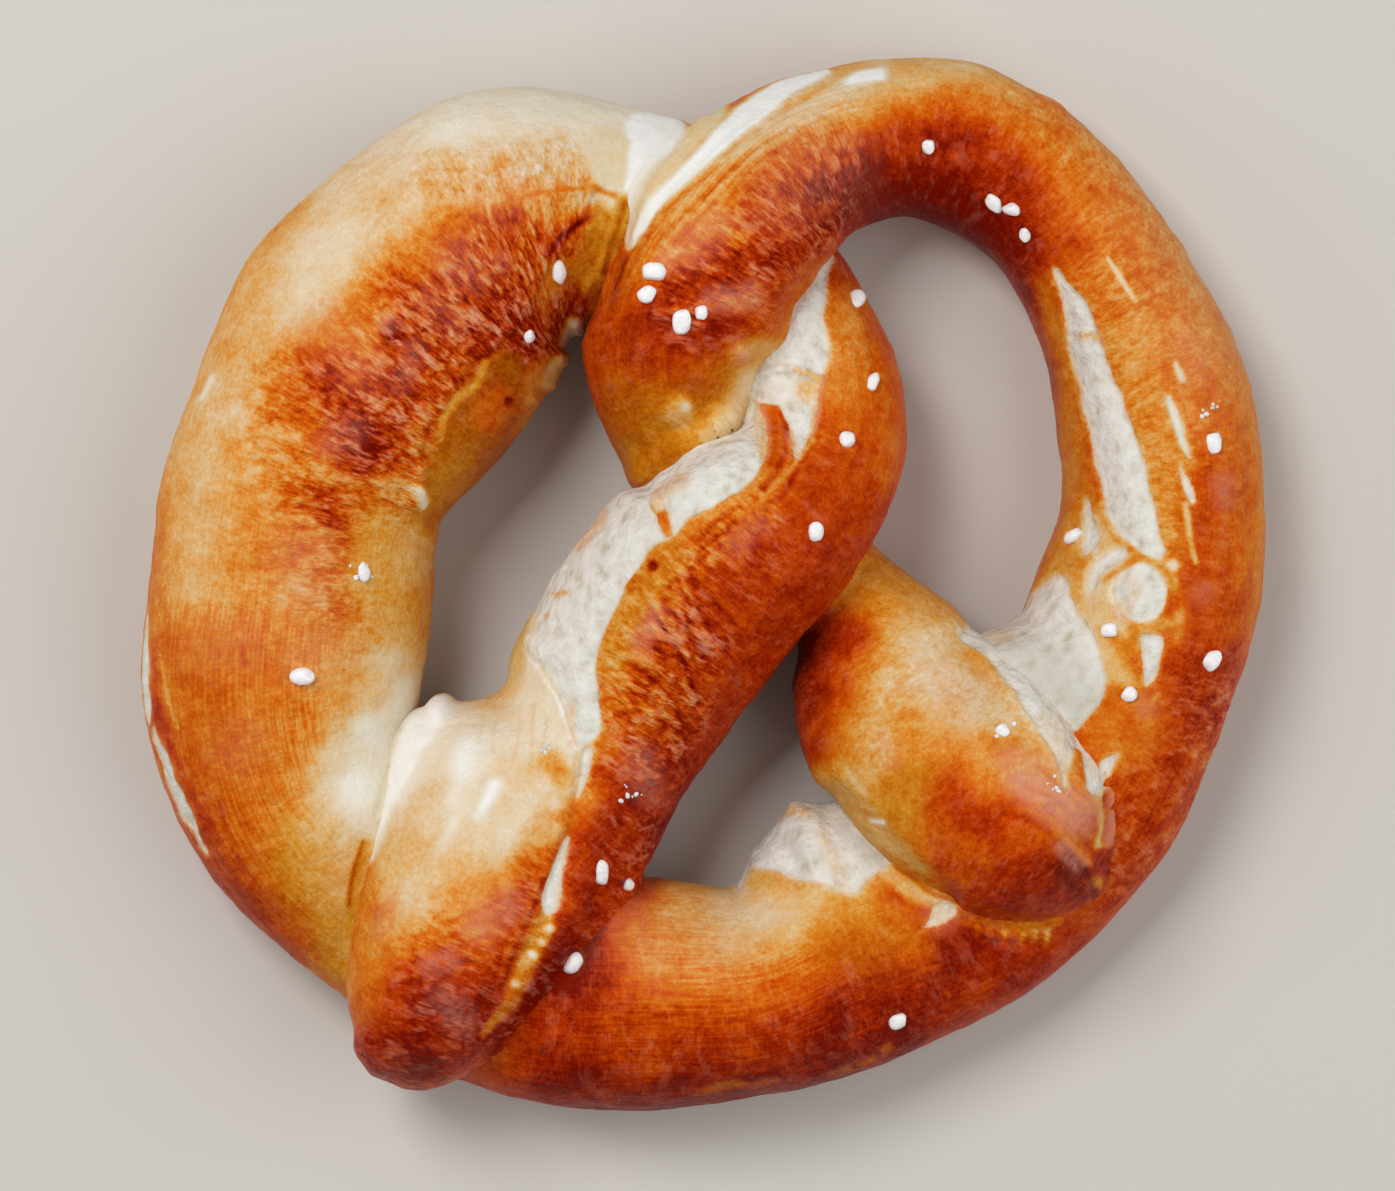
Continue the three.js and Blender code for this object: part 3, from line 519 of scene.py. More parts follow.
# %% Strokes on the rest of the loop
STROKES["outer_loop"] = [
    # over the upper left crossing
    ([(870, 90, 20), (960, 85, 16), (1020, 95, 12)], 7, 0.46, 0.4, 0.05, 0.2),
    ([(900, 130, 22), (1000, 125, 20), (1060, 140, 14)], 6, 0.66, 0, 0.1, 0.1),
    ([(960, 130, 14), (1010, 150, 16)], 6, 0.74, 0, 0.1, 0.1),
    ([(860, 180, 26), (930, 165, 26), (1000, 180, 22)], 7, 0.82, 0, 0.2, 0.1),
    # painted shade on the inner edge over the hole, which faces away from the light
    ([(850, 225, 8), (890, 205, 14), (960, 212, 14), (1005, 250, 14), (1030, 300, 8)], 6, 0.96, 0, 0, 0.1),
    ([(800, 200, 34), (740, 250, 40), (680, 300, 46)], 8, 0.78, 0, 0.7, 0.25),
    ([(618, 290, 16), (636, 262, 12)], 5, 0.66, 0.2, 0.1, 0.5),
    ([(655, 255, 14), (690, 215, 20), (740, 165, 18)], 5, 0.52, 0.05, 0.3, 0.7),
    ([(615, 350, 26), (650, 360, 30)], 6, 0.8, 0.15, 0, 0.4),
    ([(640, 420, 22), (690, 410, 24), (730, 385, 20)], 6, 0.7, 0.8, 0, 0.2),
    ([(660, 455, 16), (690, 450, 14)], 5, 0.64, 1, 0, 0.1),
    ([(834, 272, 3), (805, 318, 4)], 2.5, 0.68, 0.25, 0, 0.1),
    ([(796, 330, 4), (776, 352, 6), (748, 386, 6), (722, 412, 5)], 2.5, 0.54, 0.25, 0, 0.1),
    ([(668, 205, 8), (715, 160, 10), (770, 125, 10), (850, 105, 10)], 4, 0.4, 0.1, 0.1, 0.8),
    ([(628, 128, 12), (662, 134, 24), (650, 160, 20), (641, 185, 13), (632, 210, 9), (622, 236, 6)],
     0.8, 0.02),
    ([(626, 232, 3), (640, 212, 5), (652, 196, 6), (664, 178, 7), (677, 160, 7), (690, 143, 7),
      (703, 127, 7), (716, 112, 6)], 1.5, 0.2, 0.5),
    ([(627, 240, 1.5), (643, 219, 3), (658, 202, 4.5), (675, 184, 6), (692, 166, 8), (708, 150, 9),
      (724, 134, 10), (742, 118, 10), (762, 103, 9), (784, 90, 7), (806, 80, 5), (826, 73, 2)],
     0.7, 0, 0, 0, 0.1),
    ([(800, 100, 4), (830, 88, 5), (852, 80, 4)], 1.2, 0.3, 0.2, 0, 0.4),
    # painted shadow in the crease under the crossing
    ([(616, 256, 1.5), (607, 280, 2), (599, 304, 2)], 1, 0.88, 0.5),
    ([(850, 80, 1.5), (864, 77, 2.5), (880, 75, 1.5)], 1.2, 0.06, 0, 0, 0.1),
    ([(775, 116, 1), (795, 105, 1), (815, 92, 1), (836, 78, 1), (852, 68, 2), (885, 62, 2)],
     0.7, 0.44, 0.2, 0, 0.1),
    # the right side
    ([(1040, 110, 16), (1090, 150, 24), (1140, 220, 30), (1175, 290, 30)], 8, 0.52, 0, 0.35, 0.1),
    ([(1110, 290, 20), (1150, 330, 24)], 6, 0.5, 0.15, 0.55),
    ([(1190, 330, 24), (1210, 400, 22), (1215, 430, 16)], 8, 0.55, 0, 0.3, 0.15),
    ([(1100, 100, 10), (1165, 180, 12), (1215, 260, 12), (1245, 350, 10), (1256, 420, 6)], 5, 0.42, 0, 0.4),
    ([(1250, 420, 12), (1250, 500, 16), (1235, 600, 18), (1220, 660, 16)], 8, 0.66, 0, 0.3, 0.4),
    ([(1246, 430, 0.3), (1251, 480, 0.3), (1252, 540, 0.3)], 0.6, 0.8, 0, 0, 0.3),
    ([(1236, 320, 4), (1256, 410, 5), (1263, 480, 5), (1259, 560, 5), (1244, 630, 3)],
     5, 0.52, 0.1, 0.1, 0.3),
    ([(1190, 560, 16), (1190, 640, 16)], 6, 0.66, 0, 0, 0.1),
    ([(1108, 258, 1), (1118, 274, 2), (1128, 290, 2), (1135, 300, 1)], 0.5, 0.16, 0.1),
    ([(1176, 364, 1), (1182, 378, 2)], 0.5, 0.16, 0.1),
    ([(1185, 504, 2), (1188, 522, 3), (1190, 538, 2)], 0.5, 0.14, 0.2),
    ([(1191, 545, 2), (1196, 562, 1)], 0.5, 0.2, 0.2),
    ([(1157, 694, 1), (1148, 712, 1), (1139, 730, 1)], 0.5, 0.3, 0.1),
    ([(1042, 290, 6), (1055, 360, 10), (1060, 420, 14), (1066, 480, 16), (1064, 530, 14)],
     3, 0.53, 0.5, 0, 0.1),
    ([(1044, 370, 3), (1048, 430, 3), (1050, 500, 3), (1046, 540, 3)], 2, 0.66, 0.5, 0, 0.1),
    ([(1062, 560, 8), (1046, 584, 8), (1030, 604, 6)], 2.5, 0.46, 0.7),
    ([(1115, 340, 12), (1140, 400, 16), (1160, 470, 14), (1174, 540, 8)], 3, 0.5, 0.25, 0.4),
    ([(1074, 590, 8), (1090, 610, 12), (1106, 650, 12), (1122, 680, 10)], 3, 0.32, 0.4),
    ([(1082, 556, 12), (1070, 572, 10)], 4, 0.46, 0.55),
    ([(1095, 530, 10), (1110, 560, 14), (1100, 590, 14), (1106, 612, 12), (1125, 634, 8)], 1.2, 0.22, 0.3),
    ([(1132, 630, 4), (1150, 628, 4), (1168, 622, 3)], 0.8, 0.44, 0.3),
    ([(1112, 535, 5), (1135, 555, 4), (1160, 566, 4), (1172, 582, 4)], 0.8, 0.34, 0.4),
    ([(1102, 520, 5), (1108, 545, 6)], 1, 0.34, 0.5),
    ([(1118, 640, 5), (1132, 650, 7), (1134, 632, 4)], 1, 0.5, 0.4), ([(1172, 566, 4)], 0.8, 0.12),
    ([(1100, 505, 1), (1108, 528, 1.5), (1118, 541, 2.5), (1134, 552, 2), (1152, 562, 2), (1168, 574, 2),
      (1175, 592, 1)], 0.7, 0.52, 0.4),
    ([(1136, 560, 2), (1120, 572, 2.5), (1104, 578, 2), (1098, 590, 1)], 0.7, 0.5, 0.3),
    ([(1098, 588, 5), (1100, 604, 6), (1108, 616, 5)], 1.2, 0.3, 0.3),
    ([(1180, 612, 1), (1176, 640, 1)], 1, 0.4, 0.1, 0, 0.3),
    ([(1118, 705, 12), (1100, 730, 8)], 2.5, 0.62, 0.1),
    ([(1200, 700, 16), (1185, 760, 20), (1150, 830, 22), (1110, 890, 16)], 8, 0.76, 0, 0.4, 0.5),
    ([(1226, 690, 5), (1214, 730, 6), (1204, 770, 5)], 3, 0.7, 0, 0.6, 0.4),
    ([(1178, 765, 2), (1168, 790, 2)], 2, 0.86, 0, 0.3, 0.2),
    ([(1150, 720, 12), (1120, 740, 12)], 5, 0.6, 0.1, 0.1),
    # the bottom
    ([(1060, 940, 14), (980, 980, 20), (900, 1010, 22), (820, 1030, 24)], 10, 0.84, 0, 0.05, 0.4),
    ([(640, 1000, 30), (720, 990, 24), (780, 990, 16)], 8, 0.67, 0.05, 0.05, 1),
    ([(650, 950, 20), (720, 960, 22), (790, 950, 22)], 7, 0.45, 0, 0.05, 0.9),
    ([(690, 905, 14), (750, 912, 20), (820, 905, 18), (850, 890, 12)], 6, 0.32, 0.35, 0, 0.2),
    ([(892, 872, 8), (912, 888, 10), (926, 897, 8)], 1.2, 0.36, 0.4), ([(768, 887, 8)], 1, 0.46, 1),
    ([(752, 382, 5), (730, 406, 7), (708, 430, 2)], 3.5, 0.25, 0.4), ([(679, 409, 12)], 1.8, 0.42, 0.45),
    # a painted highlight on the blister
    ([(684, 401, 3)], 1.2, 0.1),
    ([(935, 897, 4), (960, 902, 4), (990, 910, 4), (1030, 918, 3)], 0.8, 0.24, 0.6),
    ([(740, 920, 14), (780, 920, 12)], 5, 0.24, 0.3, 0, 0.2),
    ([(860, 935, 20), (910, 940, 14)], 6, 0.58, 0.5, 0, 0.2),
    # painted shade on the lower rim, which faces away from the light
    ([(540, 1075, 14), (640, 1090, 16), (740, 1085, 16), (840, 1060, 16)], 7, 0.86, 0, 0, 0.6),
    ([(560, 1020, 18), (590, 980, 14)], 6, 0.8, 0, 0.1, 0.5),
    ([(966, 916, 7), (1000, 924, 8), (1030, 926, 8), (1056, 920, 6)], 0.8, 0.56, 0.3),
    # painted shade: a dark line where the right arm presses on the loop
    ([(822, 802, 0.6), (838, 818, 0.6), (860, 838, 0.8), (884, 855, 0.8), (912, 877, 1), (932, 894, 1),
      (960, 903, 1)], 0.6, 0.7, 0.9),
    ([(957, 914, 2), (985, 922, 2), (1020, 927, 2), (1050, 922, 2)], 0.8, 0.66, 0.5),
    ([(978, 928, 2), (978, 940, 1)], 0.4, 0.3, 0.4), ([(990, 930, 2), (989, 943, 1)], 0.4, 0.3, 0.4),
    ([(1005, 932, 2), (1003, 946, 1)], 0.4, 0.26, 0.4), ([(1022, 934, 2), (1021, 945, 1)], 0.4, 0.3, 0.4),
    ([(1035, 930, 2), (1034, 944, 1)], 0.4, 0.3, 0.4), ([(1047, 930, 3), (1046, 948, 2)], 0.4, 0.24, 0.4),
    ([(960, 952, 5), (1010, 958, 6), (1060, 945, 5)], 4, 0.84, 0, 0, 0.2),
    ([(700, 1094, 1), (725, 1086, 3), (745, 1084, 2)], 0.9, 0.62, 0.9),
    ([(755, 1086, 2), (775, 1079, 2)], 0.9, 0.66, 0.8), ([(745, 1078, 1), (780, 1072, 1)], 0.8, 0.98),
    ([(830, 1074, 1), (850, 1069, 2)], 0.8, 0.62, 0.8), ([(860, 1064, 1), (874, 1058, 1.5)], 0.8, 0.6, 0.8),
    ([(884, 1050, 1.5), (889, 1047, 1.5)], 0.8, 0.5, 0.6),
    # pale and dark patches in the wrinkled middle
    ([(672, 250, 5), (690, 246, 5)], 2, 0.5, 0, 0.6, 0.1),
    ([(715, 226, 6), (735, 238, 5)], 2, 0.52, 0, 0.7, 0.1),
    ([(745, 300, 7), (718, 312, 4)], 2, 0.55, 0, 0.8, 0.1), ([(765, 346, 5), (740, 352, 6)], 2, 0.44, 0.2),
    ([(790, 160, 10), (830, 150, 10)], 4, 0.64, 0, 0.7, 0.2),
    ([(760, 200, 10), (800, 200, 10)], 4, 0.68, 0, 0.8, 0.1),
    ([(720, 320, 5), (690, 345, 8), (650, 320, 8)], 4, 0.9, 0, 0.3, 0.2),
    ([(758, 218, 2)], 2, 0.96, 0, 0.4), ([(812, 188, 4)], 2.5, 0.94, 0, 0.6),
    ([(770, 265, 8), (800, 240, 10)], 4, 0.86, 0, 0.7, 0.1),
]

# %% Strokes on the right arm
STROKES["right_arm"] = [
    ([(812, 632, 12), (804, 690, 12), (808, 750, 6)], 7, 0.92, 0.1, 0, 0.1),
    ([(850, 640, 14), (850, 690, 10)], 5, 0.74, 0, 0, 0.1),
    ([(880, 585, 12), (905, 600, 14)], 5, 0.46, 0.6, 0, 0.1),
    ([(930, 650, 20), (945, 690, 32), (980, 715, 26)], 7, 0.29, 0.3, 0.3),
    ([(880, 690, 14), (880, 730, 18), (880, 770, 18)], 6, 0.42, 0.35, 0.4),
    ([(840, 790, 14), (860, 810, 12)], 5, 0.42, 0.8), ([(930, 760, 20), (980, 780, 20)], 6, 0.5, 0.15, 0.1),
    ([(910, 800, 20), (930, 820, 16)], 5, 0.64, 0.8), ([(970, 810, 20), (1010, 830, 22)], 5, 0.72, 0, 0.1),
    # painted shade on the lower edge, which faces away from the light
    ([(940, 865, 14), (1000, 875, 20), (1060, 875, 18)], 5, 0.85, 0, 0.1),
    ([(1106, 800, 10), (1112, 840, 14), (1095, 890, 14), (1040, 908, 14), (960, 900, 10)], 3, 0.88, 0, 0.1),
    # the puckered end: a pale rim, soft folds, and painted shade in the dark fold beside them
    ([(1097, 795, 3), (1102, 812, 3), (1102, 832, 3), (1098, 846, 2)], 0.7, 0.32, 0.6),
    ([(1104, 765, 2), (1111, 790, 2), (1114, 810, 2), (1111, 832, 2), (1105, 844, 2)], 0.7, 0.56),
    ([(1074, 752, 3), (1078, 768, 4), (1080, 782, 4)], 0.9, 0.6),
    ([(1000, 765, 14), (1050, 770, 8)], 4, 0.42, 0, 0.1),
    ([(1035, 798, 4), (1070, 795, 8), (1092, 804, 5)], 2.5, 0.46),
    ([(1062, 834, 2), (1074, 847, 3), (1086, 861, 3)], 1.5, 0.54),
    # painted shade in the dark hollow of the fold
    ([(1072, 875, 8), (1088, 888, 6)], 2.5, 0.97, 0.2),
    # the pale lower edge, and smears round a grain
    ([(830, 804, 4), (850, 822, 5), (876, 842, 5), (900, 860, 4), (920, 876, 3)], 2.2, 0.42, 0.9),
    ([(866, 825, 2), (880, 824, 2)], 0.6, 0.02),
    ([(986, 738, 4), (1000, 745, 5), (1014, 742, 3)], 1, 0.5, 0.3),
    ([(846, 768, 0.6), (853, 780, 1), (864, 794, 0.6)], 0.8, 0.22, 0.4),
    ([(836, 786, 0.6), (850, 802, 0.8), (858, 808, 0.5)], 0.9, 0.27, 0.6),
    ([(1068, 862, 2), (1080, 880, 2.5)], 1, 0.98, 0.1), ([(1096, 882, 3)], 1.2, 0.6, 1),
]
print("strokes:", {name: len(strokes) for name, strokes in STROKES.items()})

# %% Patches that browned a little more or less than the skin round them, and patches of painted shade and light
BROWNING_AND_PAINTED_SHADING = {  # course, softness, and what is added to bake
    "left_loop": [
        ([(300, 338, 10), (322, 356, 14)], 8, 0.2), ([(310, 420, 14), (335, 445, 14)], 8, 0.14),
        ([(243, 420, 14)], 8, -0.1), ([(400, 208, 16), (470, 214, 16)], 8, 0.06),
        ([(350, 690, 14), (352, 740, 14), (340, 785, 10)], 10, -0.12),
        ([(330, 250, 20), (375, 215, 20)], 12, 0.08), ([(575, 168, 12), (592, 195, 10)], 6, -0.08),
        ([(150, 560, 8), (160, 460, 8), (190, 370, 8), (230, 290, 8)], 6, 0.07),
        ([(172, 800, 10), (222, 880, 10), (290, 950, 10)], 6, 0.12),
        ([(376, 350, 9), (347, 378, 9)], 5, 0.18), ([(300, 500, 10), (318, 512, 8)], 6, -0.1),
        ([(210, 520, 16), (300, 585, 12), (280, 705, 12)], 8, 0.05),
        ([(465, 455, 12), (480, 425, 10)], 8, -0.08), ([(435, 470, 18), (450, 500, 14)], 6, -0.18),
        ([(320, 610, 24), (340, 680, 26), (340, 725, 18)], 10, -0.1),
        ([(195, 380, 26), (200, 480, 26)], 10, -0.06),
        ([(160, 650, 14), (175, 720, 14), (200, 790, 14)], 8, 0.04),
        ([(420, 530, 8), (424, 570, 6)], 4, -0.15), ([(565, 285, 12)], 4, -0.12),
        ([(440, 150, 24)], 10, -0.07), ([(440, 188, 10), (500, 180, 12)], 8, 0.05),
        ([(400, 300, 26), (370, 400, 24)], 10, 0.04),
        ([(142, 580, 6), (140, 680, 6), (152, 750, 6)], 4, 0.08),
        ([(354, 840, 6), (347, 930, 8)], 5, -0.06),
    ],
    "left_arm": [
        ([(518, 856, 10), (534, 848, 10)], 5, -0.25), ([(566, 806, 8), (590, 794, 8)], 4, -0.3),
        ([(548, 772, 6)], 3, 0.16), ([(400, 985, 12), (440, 1000, 18), (480, 1010, 16)], 8, 0.15),
        ([(400, 915, 18), (420, 940, 16)], 8, -0.14), ([(640, 665, 12), (648, 700, 10)], 6, -0.18),
        # painted shadow where the arm's flank meets the loop, right of the slit
        ([(600, 850, 8), (588, 900, 8), (565, 950, 8), (535, 990, 6)], 3, 0.15),
        # the first patch is painted shade on the tip's shadow side
        ([(362, 1040, 12), (385, 1068, 10)], 6, 0.12), ([(684, 765, 8), (664, 830, 8)], 5, 0.08),
        ([(480, 892, 12), (503, 872, 10)], 6, 0.14), ([(480, 900, 10)], 8, 0.06),
        ([(625, 800, 10), (610, 840, 10)], 6, 0.08), ([(560, 930, 8), (540, 970, 8)], 4, 0.08),
        # painted shade on the tip's lower rim, and a painted shadow in the crease
        ([(345, 1068, 8), (375, 1084, 8), (420, 1076, 8)], 5, 0.15), ([(621, 883, 2)], 0.8, 0.5),
    ],
    "outer_loop": [
        ([(860, 180, 22), (930, 170, 24), (1000, 185, 20)], 8, 0.12),
        ([(812, 300, 8), (832, 272, 8)], 4, 0.03), ([(660, 448, 8), (690, 440, 8)], 5, 0.08),
        # painted light on the lower side, which faces away from the lamps
        ([(840, 262, 8), (790, 330, 12), (720, 400, 12), (650, 440, 10)], 6, -0.08),
        ([(900, 80, 14), (950, 76, 14), (1000, 88, 12)], 6, -0.2),
        ([(760, 150, 14), (800, 130, 14)], 6, -0.15), ([(1000, 112, 10)], 6, 0.12),
        ([(1195, 570, 14), (1192, 640, 14), (1190, 690, 8)], 8, 0.06),
        ([(1240, 600, 8), (1229, 660, 8), (1210, 712, 8)], 6, 0.1),
        ([(600, 1010, 30), (720, 1030, 36), (860, 1010, 36), (980, 960, 24)], 12, 0.09),
        ([(780, 960, 12), (880, 955, 14), (960, 940, 10)], 6, 0.08), ([(850, 900, 12)], 6, -0.12),
        # painted shade on the lower rim
        ([(560, 1085, 8), (680, 1105, 8), (800, 1085, 8), (900, 1040, 8)], 6, 0.14),
        ([(1180, 350, 18), (1190, 400, 12)], 10, -0.06),
        ([(1032, 290, 5), (1042, 340, 4), (1045, 400, 4), (1046, 470, 3)], 3, 0.2),
        ([(870, 190, 18), (940, 184, 18)], 8, 0.1), ([(820, 105, 10), (900, 92, 12)], 6, -0.05),
        ([(640, 280, 12), (700, 330, 14)], 8, 0.05), ([(705, 245, 14)], 8, 0.05),
        # painted shadow in the crease beside the left arm
        ([(612, 900, 8), (598, 940, 8), (577, 980, 8)], 5, 0.08),
        ([(1150, 200, 20), (1200, 300, 20), (1230, 420, 14), (1230, 560, 14)], 10, 0.03),
        # painted shadow in the crease beside the left arm
        ([(600, 900, 5), (590, 940, 5), (565, 975, 5)], 2.5, 0.3),
    ],
    "right_arm": [
        ([(870, 612, 14)], 8, 0.08), ([(985, 775, 18)], 8, 0.08),
        ([(832, 650, 12), (818, 700, 10)], 8, 0.12),
        ([(930, 670, 22), (965, 712, 24), (1015, 750, 12)], 10, -0.07), ([(1050, 862, 18)], 10, 0.08),
        ([(880, 680, 14), (880, 750, 14)], 8, -0.06), ([(980, 780, 16)], 8, 0.06),
        ([(880, 830, 10), (920, 860, 10), (960, 885, 8)], 6, -0.12),
    ],
}

# %% [markdown]
# ## Folds and smears
#
# Where the dough was pushed together its skin lies in folds. Their colour is painted shade and painted
# light: darker in the valley and paler on the swell beside it. A fold is a line on the plan with a narrow
# bell curve across it, so that it can carry both a dent and a colour. Smears are bands that only tint: tan
# dough drawn over the white crumb, a painted salmon sheen on the crust, and painted shade that greys the
# crumb in the creases.

# %% Folds in the crust
FOLDS = {  # strength, then places along the line
    "left_arm": [
        (1.0, (784, 413), (788, 432), (786, 452), (778, 472), (764, 488)),
        (0.7, (818, 436), (803, 456), (790, 474), (770, 493), (745, 515), (715, 539), (690, 560)),
        (0.8, (796, 470), (786, 492), (776, 500)), (0.6, (740, 505), (716, 522), (700, 540)),
        (0.7, (720, 545), (700, 560), (680, 580), (660, 592)),
        (0.8, (650, 612), (664, 630), (678, 652), (690, 680), (698, 705)),
        (0.6, (662, 600), (680, 622), (700, 650), (712, 672)),
        (0.6, (676, 590), (700, 615), (718, 640), (728, 655)), (0.5, (690, 578), (712, 600), (735, 625)),
        (0.6, (605, 670), (625, 672), (645, 690), (660, 712)),
        (0.6, (620, 662), (645, 672), (666, 695), (680, 716)), (0.6, (615, 690), (632, 700), (646, 722)),
        (0.3, (856, 350), (868, 400), (862, 450), (848, 480)), (0.25, (872, 350), (882, 400), (876, 450)),
        (0.3, (562, 640), (552, 690), (540, 740)), (0.3, (530, 700), (522, 740)),
        (0.25, (512, 696), (508, 735)), (0.25, (545, 690), (540, 725)),
        (0.35, (395, 940), (430, 932), (460, 918), (500, 902)), (0.3, (410, 962), (445, 950), (490, 935)),
        (0.3, (400, 985), (430, 975), (470, 962)), (0.8, (545, 880), (532, 915), (518, 945), (508, 975)),
    ],
    "outer_loop": [
        (1.0, (702, 198), (722, 178), (745, 157), (758, 145)),
        (0.8, (664, 212), (682, 195), (700, 180), (716, 166)), (0.7, (690, 212), (702, 200)),
        (0.8, (726, 152), (740, 140), (752, 133), (762, 126)), (0.6, (640, 248), (656, 228), (674, 208)),
        (0.6, (655, 246), (670, 228), (686, 212)), (0.6, (668, 252), (690, 226), (714, 203)),
        (0.7, (780, 112), (795, 103), (808, 96)), (0.6, (765, 143), (778, 133), (792, 124)),
        (0.6, (776, 152), (790, 141), (806, 132)), (0.6, (742, 176), (758, 160), (774, 150)),
        (0.4, (628, 262), (640, 246)), (0.5, (622, 275), (640, 252)),
    ],
    "left_loop": [
        (1.0, (624, 204), (618, 226), (612, 246), (606, 274)),
        (0.9, (594, 219), (578, 226), (562, 238), (550, 256)), (0.4, (218, 800), (225, 828), (238, 855)),
        (0.5, (394, 322), (386, 331), (384, 346)), (0.5, (352, 425), (368, 440), (376, 462)),
        (0.6, (425, 715), (402, 745), (386, 780), (376, 815)), (0.5, (300, 505), (312, 515), (330, 526)),
        (0.4, (240, 640), (246, 665)), (0.3, (285, 800), (300, 820)),
    ],
    "right_arm": [
        (0.5, (1074, 816), (1088, 819), (1102, 822)), (0.6, (1058, 843), (1074, 862), (1088, 880)),
        (0.8, (1086, 868), (1092, 885), (1094, 898)), (0.8, (1105, 798), (1108, 820), (1104, 840)),
        (0.5, (1018, 800), (1050, 812), (1078, 832), (1092, 848)),
        (0.5, (1026, 784), (1058, 800), (1084, 828)), (0.45, (1040, 766), (1066, 790), (1088, 816)),
        (0.4, (1056, 762), (1078, 790), (1090, 806)), (0.35, (1010, 776), (1040, 792)),
        (0.3, (1000, 812), (1030, 822), (1054, 836)),
    ],
}
FOLD_HALF = 0.36  # mm, how far from its line a fold's valley fades
SWELL_AWAY, SWELL_HALF = 0.9, 0.45  # mm from the line to the swell beside it, and how far that one fades


def folds(name, at):
    """How deep in a fold each point lies, a bell curve across its line, and how far up on the swell
    beside it."""
    valley, swell = np.zeros(at.shape[:-1]), np.zeros(at.shape[:-1])
    for strength, *line in FOLDS[name]:
        away = band(at, [(*corner, 0.0) for corner in line])
        valley = np.maximum(valley, strength * np.exp(-((away / FOLD_HALF) ** 2)))
        swell = np.maximum(swell, strength * np.exp(-(((away - SWELL_AWAY) / SWELL_HALF) ** 2)))
    return valley, swell * (1 - valley)


print("folds:", {name: len(lines) for name, lines in FOLDS.items()})


